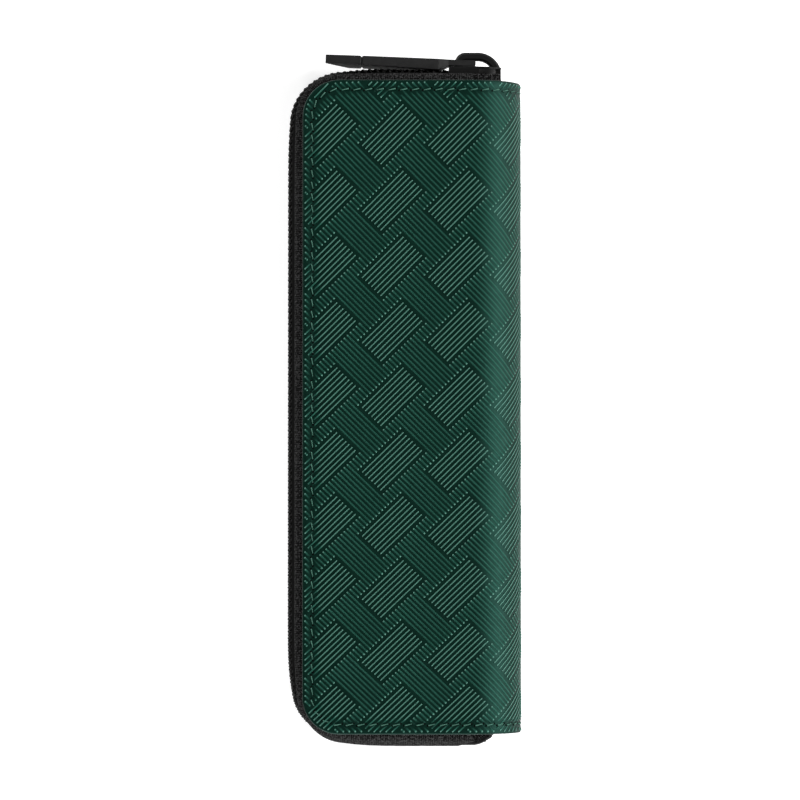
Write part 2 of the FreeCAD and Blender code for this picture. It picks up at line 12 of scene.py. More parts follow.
import bmesh
import bpy
from bmesh.types import BMEdge, BMesh, BMVert
from bpy.types import Material, Node, NodeSocket, Object
from mathutils import Matrix, Vector
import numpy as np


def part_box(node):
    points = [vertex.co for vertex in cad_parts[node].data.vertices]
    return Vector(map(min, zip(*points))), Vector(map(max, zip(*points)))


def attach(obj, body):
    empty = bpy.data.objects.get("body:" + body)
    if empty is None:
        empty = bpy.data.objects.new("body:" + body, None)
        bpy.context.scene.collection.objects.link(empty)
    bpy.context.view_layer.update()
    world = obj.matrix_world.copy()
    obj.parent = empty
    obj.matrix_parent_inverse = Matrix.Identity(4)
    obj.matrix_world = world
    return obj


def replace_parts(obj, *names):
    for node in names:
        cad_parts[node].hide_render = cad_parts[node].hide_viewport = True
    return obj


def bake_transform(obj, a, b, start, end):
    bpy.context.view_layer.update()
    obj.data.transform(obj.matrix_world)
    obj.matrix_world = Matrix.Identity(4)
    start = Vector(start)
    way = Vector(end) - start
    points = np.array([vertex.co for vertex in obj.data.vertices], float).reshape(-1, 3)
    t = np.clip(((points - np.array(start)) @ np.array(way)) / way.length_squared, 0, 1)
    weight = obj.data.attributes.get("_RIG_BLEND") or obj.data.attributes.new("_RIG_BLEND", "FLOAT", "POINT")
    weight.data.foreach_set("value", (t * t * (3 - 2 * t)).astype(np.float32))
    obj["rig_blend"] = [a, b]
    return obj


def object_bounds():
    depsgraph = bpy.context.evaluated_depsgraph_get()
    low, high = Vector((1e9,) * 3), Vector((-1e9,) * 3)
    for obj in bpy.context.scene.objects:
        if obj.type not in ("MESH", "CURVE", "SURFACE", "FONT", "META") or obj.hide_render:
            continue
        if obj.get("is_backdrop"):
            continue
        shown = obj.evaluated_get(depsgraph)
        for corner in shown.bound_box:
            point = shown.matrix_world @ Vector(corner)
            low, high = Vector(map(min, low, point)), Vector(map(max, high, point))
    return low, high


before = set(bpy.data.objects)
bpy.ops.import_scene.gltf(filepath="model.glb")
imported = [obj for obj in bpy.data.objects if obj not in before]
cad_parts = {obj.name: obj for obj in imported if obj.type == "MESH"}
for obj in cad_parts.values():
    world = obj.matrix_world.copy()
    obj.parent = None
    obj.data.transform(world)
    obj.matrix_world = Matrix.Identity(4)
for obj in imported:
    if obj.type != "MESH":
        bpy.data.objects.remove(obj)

# Metres in a millimetre.
MM = 0.001
# Millimetres within which two heights count as one.
NEAR = 0.001
# Radians that the wave texture runs through in one unit, at a scale of 1.
WAVE_RATE = 20.0
# Values between which most of a noise texture lies.
NOISE_SPAN = (0.3, 0.7)
# Sockets that the Mix node uses for colours.
MIX_FIRST, MIX_SECOND, MIX_RESULT = 6, 7, 2
# Vertex attribute with the height of the pressed weave, in millimetres, which the leather's painted
# highlights follow.
LIFT = "lift"
LOG = logging.getLogger("pen_case")
# Place of a vertex in the flat.
Flat = Callable[[BMVert], tuple[float, float]]
# Two ends of a ridge, each as its places along and square to the bands.
Run = tuple[float, float, float, float]
# Corners of the tape's section, out from the leather's edge and up.
Corners = list[tuple[float, float]]


class Side(Enum):
    """The two halves of the case."""

    BACK = "back"
    FRONT = "front"

    @property
    def body(self) -> str:
        """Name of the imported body."""
        return f"{self.value}_half"

    def node(self, piece: str) -> str:
        """Name of this half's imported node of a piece."""
        return f"{self.value}_{piece}"


def box_mm(node: str) -> tuple[Vector, Vector]:
    """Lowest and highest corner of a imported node, in millimetres."""
    low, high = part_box(node)
    return low / MM, high / MM


@dataclass(frozen=True)
class CaseSizes:
    """Sizes of the case that several pieces share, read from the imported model."""

    free_edge: float
    spine: float
    end: float
    depth: float
    spine_radius: float
    lining_depth: float
    inside_depth: float
    corner_radius: float = 9.0
    leather: float = 1.4

    @classmethod
    def from_frame(cls) -> "CaseSizes":
        """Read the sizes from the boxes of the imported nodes.

        Returns:
            The sizes.
        """
        back_low, back_high = box_mm("back_cover")
        return cls(
            free_edge=back_low.x,
            spine=back_high.x,
            end=back_high.y,
            depth=box_mm("front_cover")[1].z,
            spine_radius=back_high.z,
            lining_depth=box_mm("back_lining")[0].z,
            inside_depth=box_mm("loop_patch")[0].z,
        )

    @property
    def middle(self) -> float:
        """Height of the plane that the zip closes on."""
        return self.depth / 2

    @property
    def spine_centre(self) -> float:
        """Place across the case where the flat covers turn into the spine."""
        return self.spine - self.spine_radius


class NodeTree:
    """Node tree of one material, with its shader and its texture coordinates."""

    def __init__(self, name: str) -> None:
        """Make the material.

        Args:
            name: Name of the material.
        """
        self.material = bpy.data.materials.new(name)
        self.material.use_nodes = True
        self.nodes = self.material.node_tree.nodes
        self.shader = self.nodes["Principled BSDF"]
        self.coordinates = self.nodes.new("ShaderNodeTexCoord")

    def add(self, kind: str, settings: dict | None = None, **inputs: object) -> Node:
        """Add a node.

        Args:
            kind: Type of the node, without its common prefix.
            settings: Values of the node's own properties.
            inputs: Values or sockets for its inputs, by their names with _ for a space.

        Returns:
            The new node.
        """
        node = self.nodes.new(f"ShaderNode{kind}")
        for key, value in (settings or {}).items():
            setattr(node, key, value)
        for key, value in inputs.items():
            self.put(node.inputs[key.replace("_", " ")], value)
        return node

    def put(self, socket: NodeSocket, value: object) -> None:
        """Link a socket to an input, or set the input's value.

        Args:
            socket: Input to feed.
            value: Socket to link to it, or its value.
        """
        if isinstance(value, NodeSocket):
            self.material.node_tree.links.new(value, socket)
        else:
            socket.default_value = value

    def dress(self, **inputs: object) -> None:
        """Set inputs of the shader, by their names with _ for a space."""
        for key, value in inputs.items():
            self.put(self.shader.inputs[key.replace("_", " ")], value)

    def turned(self, source: str, degrees: float) -> NodeSocket:
        """Texture coordinates of one kind, turned in their plane.

        Args:
            source: Kind of coordinates.
            degrees: Turn.

        Returns:
            The turned coordinates.
        """
        mapping = self.add("Mapping", Vector=self.coordinates.outputs[source])
        mapping.inputs["Rotation"].default_value = (0, 0, math.radians(degrees))
        return mapping.outputs["Vector"]

    def noise(self, size: float, detail: float = 3.0) -> NodeSocket:
        """Noise over the piece.

        Args:
            size: About how many millimetres its features are across.
            detail: Number of finer layers in it.

        Returns:
            The noise, from 0 to 1.
        """
        node = self.add(
            "TexNoise",
            Vector=self.coordinates.outputs["Object"],
            Scale=1 / (size * MM),
            Detail=detail,
        )
        return node.outputs["Fac"]

    def ramp(
        self,
        factor: NodeSocket,
        dark: "Colour",
        light: "Colour",
        span: tuple[float, float] = NOISE_SPAN,
    ) -> NodeSocket:
        """Colour that goes from dark to light with a factor.

        Args:
            factor: Socket that drives it.
            dark: Colour below the span.
            light: Colour above the span.
            span: Values of the factor between which the colour changes.

        Returns:
            The colour.
        """
        node = self.add("ValToRGB", Fac=factor)
        first, last = node.color_ramp.elements
        first.position, last.position = span
        first.color, last.color = dark.linear, light.linear
        return node.outputs["Color"]

    def clouded(self, colour: "Colour", size: float, change: float) -> NodeSocket:
        """A colour that gets darker and lighter by a share, in clouds of about a size."""
        return self.ramp(self.noise(size), colour.times(1 - change), colour.times(1 + change))

    def mix(self, share: NodeSocket, first: NodeSocket, second: "Colour") -> NodeSocket:
        """Colour that goes from one to another.

        Args:
            share: Share of the second colour.
            first: First colour.
            second: Second colour.

        Returns:
            The mixed colour.
        """
        node = self.add("Mix", {"data_type": "RGBA"}, Factor=share)
        self.put(node.inputs[MIX_FIRST], first)
        self.put(node.inputs[MIX_SECOND], second.linear)
        return node.outputs[MIX_RESULT]

    def joined(self, operation: str, first: NodeSocket, second: NodeSocket) -> NodeSocket:
        """Two values joined by an operation.

        Args:
            operation: Operation of the Math node.
            first: First value.
            second: Second value.

        Returns:
            The result.
        """
        node = self.add("Math", {"operation": operation})
        self.put(node.inputs[0], first)
        self.put(node.inputs[1], second)
        return node.outputs[0]

    def span(self, factor: NodeSocket, low: float, high: float) -> NodeSocket:
        """A factor from 0 to 1, spread from low to high."""
        return self.add("MapRange", Value=factor, To_Min=low, To_Max=high).outputs["Result"]

    def bump(
        self, height: NodeSocket, depth: float, strength: float, under: NodeSocket | None = None
    ) -> NodeSocket:
        """Normal of a surface with a height map.

        Args:
            height: Height, from 0 to 1.
            depth: Depth of the map in millimetres.
            strength: Share of it that shows.
            under: Normal of the surface under it.

        Returns:
            The normal.
        """
        node = self.add("Bump", Height=height, Distance=depth * MM, Strength=strength)
        if under is not None:
            self.put(node.inputs["Normal"], under)
        return node.outputs["Normal"]

    def waves(self, vector: NodeSocket, length: float, across: str = "X") -> NodeSocket:
        """Even bands.

        Args:
            vector: Coordinates in millimetres.
            length: Length of a band in millimetres.
            across: Axis that the bands lie across.

        Returns:
            The bands, from 0 to 1.
        """
        settings = {"wave_type": "BANDS", "bands_direction": across, "wave_profile": "SIN"}
        scale = 2 * math.pi / WAVE_RATE / length
        return self.add("TexWave", settings, Vector=vector, Scale=scale).outputs["Fac"]


@dataclass(frozen=True)
class Colour:
    """Display colour, from 0 to 255."""

    red: float
    green: float
    blue: float

    @property
    def linear(self) -> tuple[float, float, float, float]:
        """The colour as the shader takes it, by the sRGB curve."""
        parts = [part / 255 for part in (self.red, self.green, self.blue)]
        return (*[p / 12.92 if p <= 0.04045 else ((p + 0.055) / 1.055) ** 2.4 for p in parts], 1.0)

    def times(self, factor: float) -> "Colour":
        """The colour, darker or lighter."""
        return Colour(self.red * factor, self.green * factor, self.blue * factor)


@dataclass(frozen=True)
class LeatherFinish:
    """Coated leather with a fine pebbled grain, and a painted highlight where a pattern stands up."""

    name: str
    colour: Colour
    crest_highlight: Colour | None = None
    peak_highlight: Colour | None = None
    crest_highlight_span: tuple[float, float] = (0.01, 0.12)
    peak_highlight_span: tuple[float, float] = (0.125, 0.16)
    cloud: float = 6.0
    cloud_change: float = 0.15
    grain: float = 0.35
    grain_depth: float = 0.03
    pebble_strength: float = 0.5
    pore_strength: float = 0.4
    roughness: float = 0.42
    wear: float = 2.0
    wear_change: float = 0.07
    gloss: float = 0.5
    gloss_tint: tuple[float, float, float, float] = (1.0, 1.0, 1.0, 1.0)

    def tone(self, tree: NodeTree) -> NodeSocket:
        """Colour of the leather, cloudy, with painted highlights that grow with its lift.

        Args:
            tree: Node tree of the material.

        Returns:
            The colour.
        """
        tone = tree.clouded(self.colour, self.cloud, self.cloud_change)
        lift = tree.add("Attribute", {"attribute_name": LIFT}).outputs["Fac"]
        # Each step paints a highlight: the colour goes paler on the weave's crests, and paler still at its
        # highest points.
        steps = ((self.crest_highlight, self.crest_highlight_span), (self.peak_highlight, self.peak_highlight_span))
        for highlight, (low, high) in steps:
            if highlight is not None:
                share = tree.add("MapRange", Value=lift, From_Min=low, From_Max=high)
                tone = tree.mix(share.outputs["Result"], tone, highlight)
        return tone

    def material(self) -> Material:
        """Build the material.

        Returns:
            The material.
        """
        tree = NodeTree(self.name)
        cells = tree.add(
            "TexVoronoi",
            {"feature": "DISTANCE_TO_EDGE"},
            Vector=tree.coordinates.outputs["Object"],
            Scale=1 / (self.grain * MM),
        )
        pores = tree.noise(self.grain / 2)
        pebbles = tree.bump(cells.outputs["Distance"], self.grain_depth, self.pebble_strength)
        smooth, rough = self.roughness - self.wear_change, self.roughness + self.wear_change
        tree.dress(
            Base_Color=self.tone(tree),
            Roughness=tree.span(tree.noise(self.wear), smooth, rough),
            Specular_IOR_Level=self.gloss,
            Specular_Tint=self.gloss_tint,
            Normal=tree.bump(pores, self.grain_depth / 2, self.pore_strength, pebbles),
        )
        return tree.material


@dataclass(frozen=True)
class ThreadFinish:
    """Twisted sewing thread."""

    name: str
    colour: Colour
    twist: float = 0.25
    lay: float = 55.0
    shade: float = 0.75
    shine: float = 1.1
    strand_span: tuple[float, float] = (0.2, 0.8)
    depth: float = 0.05
    strength: float = 0.6
    roughness: float = 0.7
    gloss: float = 0.2

    def material(self) -> Material:
        """Build the material.

        Returns:
            The material.
        """
        tree = NodeTree(self.name)
        strands = tree.waves(tree.turned("UV", self.lay), self.twist)
        dark, light = self.colour.times(self.shade), self.colour.times(self.shine)
        tree.dress(
            Base_Color=tree.ramp(strands, dark, light, self.strand_span),
            Roughness=self.roughness,
            Specular_IOR_Level=self.gloss,
            Normal=tree.bump(strands, self.depth, self.strength),
        )
        return tree.material


@dataclass(frozen=True)
class ClothFinish:
    """Woven cloth: diagonal twill lines, or square ribs, with painted shade in the weave's hollows and
    painted highlight on its crowns, over random flecks.
    """

    name: str
    colour: Colour
    rib: float
    degrees: float
    weft_share: float = 0.8
    fleck: float = 0.5
    uneven: float = 2.2
    hollow_shade: float = 0.2
    crown_highlight: float = 2.0
    yarn_span: tuple[float, float] = (0.1, 0.8)
    depth: float = 0.2
    strength: float = 1.0
    wear: float = 0.6
    roughness: tuple[float, float] = (0.75, 0.92)
    gloss: float = 0.06

    def material(self) -> Material:
        """Build the material.

        Returns:
            The material.
        """
        tree = NodeTree(self.name)
        weave = tree.turned("UV", self.degrees)
        warp = tree.waves(weave, self.rib)
        weft = tree.waves(weave, self.rib * self.weft_share, "Y")
        flecks = tree.span(tree.noise(self.fleck), -self.uneven, self.uneven)
        yarn = tree.joined("ADD", tree.joined("MULTIPLY", warp, weft), flecks)
        # Painted shade in the weave's hollows and painted highlight on its crowns; the flecks add random
        # tone.
        dark, light = self.colour.times(self.hollow_shade), self.colour.times(self.crown_highlight)
        tree.dress(
            Base_Color=tree.ramp(yarn, dark, light, self.yarn_span),
            Roughness=tree.span(tree.noise(self.wear), *self.roughness),
            Specular_IOR_Level=self.gloss,
            Normal=tree.bump(yarn, self.depth, self.strength),
        )
        return tree.material


@dataclass(frozen=True)
class NylonFinish:
    """Extruded nylon of the zip's rows, slightly uneven."""

    name: str
    colour: Colour
    cloud: float = 1.2
    cloud_change: float = 0.2
    wear: float = 0.5
    roughness: tuple[float, float] = (0.58, 0.72)
    gloss: float = 0.2
    streak: float = 0.25
    depth: float = 0.02
    strength: float = 0.4

    def material(self) -> Material:
        """Build the material.

        Returns:
            The material.
        """
        tree = NodeTree(self.name)
        tree.dress(
            Base_Color=tree.clouded(self.colour, self.cloud, self.cloud_change),
            Roughness=tree.span(tree.noise(self.wear), *self.roughness),
            Specular_IOR_Level=self.gloss,
            Normal=tree.bump(tree.noise(self.streak), self.depth, self.strength),
        )
        return tree.material


@dataclass(frozen=True)
class MetalFinish:
    """Die-cast metal under a satin black coat, polished a little by use."""

    name: str
    colour: Colour
    roughness: float
    cloud: float = 1.5
    cloud_change: float = 0.15
    wear: float = 0.8
    wear_change: float = 0.08
    metallic: float = 0.1
    gloss: float = 0.2
    cast: float = 0.35
    depth: float = 0.015
    strength: float = 0.35

    def material(self) -> Material:
        """Build the material.

        Returns:
            The material.
        """
        tree = NodeTree(self.name)
        smooth, rough = self.roughness - self.wear_change, self.roughness + self.wear_change
        tree.dress(
            Base_Color=tree.clouded(self.colour, self.cloud, self.cloud_change),
            Metallic=self.metallic,
            Roughness=tree.span(tree.noise(self.wear), smooth, rough),
            Specular_IOR_Level=self.gloss,
            Normal=tree.bump(tree.noise(self.cast), self.depth, self.strength),
        )
        return tree.material


@dataclass(frozen=True)
class BoardFinish:
    """Bonded leather board with pressed fibres."""

    name: str
    colour: Colour
    fibre: float = 0.5
    fibre_detail: float = 6.0
    shade: float = 0.7
    shine: float = 1.2
    roughness: float = 0.85
    depth: float = 0.06
    strength: float = 0.6

    def material(self) -> Material:
        """Build the material.

        Returns:
            The material.
        """
        tree = NodeTree(self.name)
        fibres = tree.noise(self.fibre, self.fibre_detail)
        dark, light = self.colour.times(self.shade), self.colour.times(self.shine)
        tree.dress(
            Base_Color=tree.ramp(fibres, dark, light),
            Roughness=self.roughness,
            Normal=tree.bump(fibres, self.depth, self.strength),
        )
        return tree.material


@dataclass(frozen=True)
class Finishes:
    """Every material of the case."""

    cover: Material
    cut_edge: Material
    thread: Material
    needle_hole: Material
    lining: Material
    board: Material
    tape: Material
    sewing: Material
    coil: Material
    metal: Material
    pull: Material
    loop: Material
    loop_thread: Material

    @classmethod
    def make(cls) -> "Finishes":
        """Build the materials.

        Returns:
            The materials.
        """
        # The two paler colours are painted highlights on the pressed weave's crests and highest points.
        green = LeatherFinish(
            "cover_leather",
            Colour(0, 17, 10),
            crest_highlight=Colour(34, 77, 65),
            peak_highlight=Colour(82, 117, 106),
            roughness=0.55,
            gloss=0.22,
            gloss_tint=(0.3, 1.0, 0.8, 1.0),
        )
        return cls(
            cover=green.material(),
            cut_edge=LeatherFinish("cut_edge", Colour(48, 66, 60), roughness=0.55).material(),
            thread=ThreadFinish("cover_thread", Colour(60, 102, 88)).material(),
            # Near-black dots at the stitch ends: painted shade in the needle holes.
            needle_hole=LeatherFinish(
                "needle_hole", Colour(0, 5, 3), roughness=0.8, gloss=0.05
            ).material(),
            lining=ClothFinish("lining_twill", Colour(38, 38, 39), rib=0.7, degrees=45).material(),
            board=BoardFinish("stiffener_board", Colour(92, 74, 56)).material(),
            tape=ClothFinish("zip_tape", Colour(29, 29, 29), rib=0.55, degrees=0).material(),
            sewing=ThreadFinish("zip_sewing", Colour(23, 23, 24)).material(),
            coil=NylonFinish("zip_coil", Colour(8, 8, 8)).material(),
            metal=MetalFinish("zip_metal", Colour(9, 9, 9), roughness=0.55).material(),
            pull=MetalFinish("pull_metal", Colour(26, 26, 26), roughness=0.6).material(),
            loop=LeatherFinish(
                "loop_leather", Colour(32, 32, 32), grain=0.9, grain_depth=0.12, roughness=0.62
            ).material(),
            loop_thread=ThreadFinish("loop_thread", Colour(58, 58, 58)).material(),
        )


def lay_uv(bm: BMesh, flat: Flat) -> None:
    """Give every corner of every face its place in the flat, in millimetres.

    Args:
        bm: Mesh to lay out.
        flat: Place of a vertex in the flat.
    """
    layer = bm.loops.layers.uv.verify()
    for face in bm.faces:
        for loop in face.loops:
            loop[layer].uv = flat(loop.vert)


def finished(bm: BMesh, name: str, materials: Sequence[Material], sharp: float = 40.0) -> Object:
    """Turn a mesh in millimetres into an object in metres.

    Args:
        bm: Mesh to finish, which is freed.
        name: Name of the piece.
        materials: Its materials, in the order of the faces' numbers.
        sharp: Edges that bend by more than this, in degrees, stay sharp.

    Returns:
        The new object.
    """
    bmesh.ops.recalc_face_normals(bm, faces=bm.faces[:])
    bm.transform(Matrix.Scale(MM, 4))
    mesh = bpy.data.meshes.new(name)
    bm.to_mesh(mesh)
    bm.free()
    mesh.shade_smooth()
    mesh.set_sharp_from_angle(angle=math.radians(sharp))
    for material in materials:
        mesh.materials.append(material)
    piece = bpy.data.objects.new(name, mesh)
    bpy.context.scene.collection.objects.link(piece)
    LOG.info("%s: %d faces", name, len(mesh.polygons))
    return piece


def add_copy(target: BMesh, piece: BMesh) -> None:
    """Add a small mesh to a larger one.

    Args:
        target: Mesh that grows.
        piece: Mesh to add, which is freed.
    """
    scratch = bpy.data.meshes.new("scratch")
    piece.to_mesh(scratch)
    piece.free()
    target.from_mesh(scratch)
    bpy.data.meshes.remove(scratch)


def picked(geometry: Sequence[object], kind: type) -> list:
    """The elements of one kind that an operator gave back."""
    return [element for element in geometry if isinstance(element, kind)]


def round_edges(bm: BMesh, edges: Sequence[BMEdge], size: float, steps: int = 3) -> None:
    """Round off edges.

    Args:
        bm: Mesh that holds them.
        edges: Edges to round.
        size: How far back the rounding starts.
        steps: Number of faces over the rounding.
    """
    bmesh.ops.bevel(
        bm,
        geom=edges,
        offset=size,
        offset_type="OFFSET",
        segments=steps,
        profile=0.5,
        affect="EDGES",
        material=-1,
        clamp_overlap=True,
    )


def bent_edges(bm: BMesh, degrees: float = 60.0) -> list[BMEdge]:
    """Edges where two faces meet at more than an angle.

    Args:
        bm: Mesh that holds them.
        degrees: Angle between the faces' normals.

    Returns:
        The edges.
    """
    bm.normal_update()
    limit = math.radians(degrees)
    inner = [edge for edge in bm.edges if len(edge.link_faces) == 2]
    return [edge for edge in inner if edge.calc_face_angle() > limit]


def round_corners(bm: BMesh, verts: Sequence[BMVert], radius: float, steps: int) -> None:
    """Round off corners of a flat sheet.

    Args:
        bm: Sheet that holds them.
        verts: Corners to round.
        radius: Radius of the rounding.
        steps: Number of edges round each corner.
    """
    bmesh.ops.bevel(
        bm,
        geom=verts,
        offset=radius,
        offset_type="OFFSET",
        segments=steps,
        profile=0.5,
        affect="VERTICES",
        material=-1,
    )


def rectangle(half_x: float, half_y: float) -> BMesh:
    """Flat rectangle round the origin.

    Args:
        half_x: Half of its width.
        half_y: Half of its length.

    Returns:
        The rectangle, facing +Z.
    """
    bm = bmesh.new()
    bmesh.ops.create_grid(bm, x_segments=1, y_segments=1, size=1.0)
    bmesh.ops.scale(bm, vec=Vector((half_x, half_y, 1.0)), verts=bm.verts)
    return bm


def divide(bm: BMesh, x: float) -> None:
    """Divide the faces of a mesh at a place across it."""
    whole = bm.verts[:] + bm.edges[:] + bm.faces[:]
    bmesh.ops.bisect_plane(bm, geom=whole, plane_co=(x, 0, 0), plane_no=(1, 0, 0))


def thicken(bm: BMesh, shift: float) -> None:
    """Extrude a flat sheet, by a shift along Z."""
    made = bmesh.ops.extrude_face_region(bm, geom=bm.faces[:])["geom"]
    bmesh.ops.translate(bm, vec=Vector((0, 0, shift)), verts=picked(made, BMVert))


def bead(half_width: float, height: float, sides: int, rings: int) -> BMesh:
    """Half-round bead along X, of no length between its two rounded ends.

    Args:
        half_width: Half of its width, and the length of each end.
        height: Its height above its middle.
        sides: Number of faces round it.
        rings: Number of bands from pole to pole, an odd number.

    Returns:
        The mesh, round the origin.
    """
    bm = bmesh.new()
    bmesh.ops.create_uvsphere(bm, u_segments=sides, v_segments=rings, radius=1.0)
    bmesh.ops.rotate(bm, cent=Vector(), matrix=Matrix.Rotation(math.pi / 2, 3, "Y"), verts=bm.verts)
    bmesh.ops.scale(bm, vec=Vector((half_width, half_width, height)), verts=bm.verts)
    return bm


def drawn_out(bead_mesh: BMesh, length: float, cuts: int = 2, waist: float = 1.0) -> BMesh:
    """Copy of a bead, drawn out to a length between its ends.

    Args:
        bead_mesh: Bead to copy.
        length: Whole length of the copy.
        cuts: Number of rings to add along it, two of them close to the ends.
        waist: Height between the ends, as a share of theirs.

    Returns:
        The copy.
    """
    bm = bead_mesh.copy()
    reach = max(vert.co.x for vert in bm.verts)
    half = max(length / 2 - reach, 0.0)
    middle = [edge for edge in bm.edges if edge.verts[0].co.x * edge.verts[1].co.x < 0]
    for vert in bm.verts:
        vert.co.x += math.copysign(half, vert.co.x)
    bmesh.ops.subdivide_edges(bm, edges=middle, cuts=cuts, use_grid_fill=True)
    outer = half * (cuts - 1) / (cuts + 1)
    for vert in bm.verts:
        if abs(vert.co.x) < half:
            vert.co.z *= waist
            if abs(vert.co.x) >= outer:
                vert.co.x = math.copysign(max(half - reach, half / 2), vert.co.x)
    return bm


@dataclass(frozen=True)
class RoundedOutline:
    """Rectangle with round corners, about the origin of the flat sheet."""

    half_x: float
    half_y: float
    radius: float
    least_radius: float = 0.1

    def depth(self, x: float, y: float) -> float:
        """How far a point lies inside the outline.

        Args:
            x: Place of the point across the sheet.
            y: Its place along the sheet.

        Returns:
            The distance, negative outside.
        """
        across = abs(x) - (self.half_x - self.radius)
        along = abs(y) - (self.half_y - self.radius)
        outside = math.hypot(max(across, 0.0), max(along, 0.0))
        return self.radius - outside - min(max(across, along), 0.0)

    def inset(self, size: float) -> "RoundedOutline":
        """The outline, drawn in on all sides."""
        radius = max(self.radius - size, self.least_radius)
        return RoundedOutline(self.half_x - size, self.half_y - size, radius)

    @property
    def runs(self) -> list[tuple[float, float]]:
        """Stretches of the outline, anticlockwise from the foot of the +X side.

        Returns:
            Length and turn of each stretch.
        """
        side = 2 * (self.half_y - self.radius)
        top = 2 * (self.half_x - self.radius)
        corner = self.radius * math.pi / 2
        turn = math.pi / 2
        return [(side, 0.0), (corner, turn), (top, 0.0), (corner, turn)] * 2

    @property
    def length(self) -> float:
        """Length of the whole outline."""
        return sum(length for length, _ in self.runs)

    def at(self, way: float) -> tuple[Vector, float]:
        """Point and heading at a way along the outline.

        Args:
            way: Way from the foot of the +X side, anticlockwise.

        Returns:
            The point, and the heading in radians.
        """
        point = Vector((self.half_x, self.radius - self.half_y, 0.0))
        heading = math.pi / 2
        for length, turn in self.runs:
            step = min(way, length)
            if turn:
                bend = step / self.radius
                left = Vector((-math.sin(heading), math.cos(heading), 0.0))
                centre = point + left * self.radius
                point = centre + Matrix.Rotation(bend, 3, "Z") @ (point - centre)
                heading += bend
            else:
                point = point + Vector((math.cos(heading), math.sin(heading), 0.0)) * step
            way -= step
            if way <= 0:
                break
        return point, heading

    def sheet(self, loops: Sequence[float], cuts: Sequence[float], corner_steps: int = 12) -> BMesh:
        """Flat sheet with this outline.

        Args:
            loops: Steps inwards to rings of edges along the outline.
            cuts: Places across the sheet where it is divided from end to end.
            corner_steps: Number of edges round each corner.

        Returns:
            The sheet, facing +Z.
        """
        bm = rectangle(self.half_x, self.half_y)
        round_corners(bm, bm.verts[:], self.radius, corner_steps)
        inner = bm.faces[:]
        for step in loops:
            bmesh.ops.inset_region(
                bm, faces=inner, thickness=step, use_even_offset=True, use_boundary=True
            )
        for cut in cuts:
            divide(bm, cut)
        return bm


@dataclass(frozen=True)
class Wrap:
    """Way round the case, from the middle of the spine out to each cover's free edge.

    A flat sheet lies with X the way round, front cover positive, Y along the case and Z out
    of the leather's face.
    """

    sizes: CaseSizes
    bend_step: float = 1.15
    fold_low: float = 0.15
    fold_high: float = 0.85

    @property
    def half_gap(self) -> float:
        """Straight stretch from the middle of the spine to its bend."""
        return self.sizes.middle - self.sizes.spine_radius

    @property
    def bend_end(self) -> float:
        """Way round at which the spine turns into the flat cover."""
        return self.half_gap + self.sizes.spine_radius * math.pi / 2

    @property
    def reach(self) -> float:
        """Way round to the free edge."""
        return self.bend_end + self.sizes.spine_centre - self.sizes.free_edge

    @property
    def cuts(self) -> list[float]:
        """Places where a sheet is divided so that it bends round the spine."""
        count = math.ceil(self.bend_end / self.bend_step)
        return [self.bend_end * number / count for number in range(-count, count + 1)]

    def outline(self, inset: float = 0.0) -> RoundedOutline:
        """Outline of the leather in the flat, drawn in by an inset."""
        whole = RoundedOutline(self.reach, self.sizes.end, self.sizes.corner_radius)
        return whole.inset(inset) if inset else whole

    def way_on_front(self, x: float) -> float:
        """Way round to a place across the front cover."""
        return self.bend_end + self.sizes.spine_centre - x

    def place(self, point: Vector) -> Vector:
        """Where a point of the flat sheet lies on the case.

        Args:
            point: Point of the flat sheet.

        Returns:
            Its place on the case.
        """
        way, lift = abs(point.x), point.z
        if way <= self.half_gap:
            across, rise = self.sizes.spine + lift, way
        elif way <= self.bend_end:
            angle = (way - self.half_gap) / self.sizes.spine_radius
            radius = self.sizes.spine_radius + lift
            across = self.sizes.spine_centre + radius * math.cos(angle)
            rise = self.half_gap + radius * math.sin(angle)
        else:
            across = self.sizes.spine_centre - (way - self.bend_end)
            rise = self.sizes.middle + lift
        return Vector((across, point.y, self.sizes.middle + math.copysign(rise, point.x)))

    def fold(self, bm: BMesh) -> None:
        """Wrap a flat mesh round the case."""
        for vert in bm.verts:
            vert.co = self.place(vert.co)

    def bend_with_cover(self, piece: Object) -> None:
        """Let a piece bend at the spine when the cover opens.

        Args:
            piece: Piece that lies round the spine.
        """
        spine, depth = self.sizes.spine * MM, self.sizes.depth * MM
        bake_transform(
            piece,
            Side.BACK.body,
            Side.FRONT.body,
            start=(spine, 0, self.fold_low * depth),
            end=(spine, 0, self.fold_high * depth),
        )


@dataclass(frozen=True)
class WrapLayer:
    """One layer of the covers, in one piece round the spine."""

    name: str
    slot: str
    depth: float
    thickness: float
    inset: float
    rim: float
    rim_steps: int = 2

    def build(self, wrap: Wrap, material: Material) -> Object:
        """Make the layer.

        Args:
            wrap: Way round the case.
            material: Its finish.

        Returns:
            The finished piece, which stands for the nodes of both halves.
        """
        bm = wrap.outline(self.inset).sheet([], wrap.cuts)
        lay_uv(bm, lambda vert: (vert.co.x, vert.co.y))
        thicken(bm, -self.thickness)
        round_edges(bm, bent_edges(bm), self.rim, self.rim_steps)
        bmesh.ops.translate(bm, vec=Vector((0, 0, -self.depth)), verts=bm.verts)
        wrap.fold(bm)
        piece = finished(bm, self.name, [material])
        wrap.bend_with_cover(piece)
        return piece


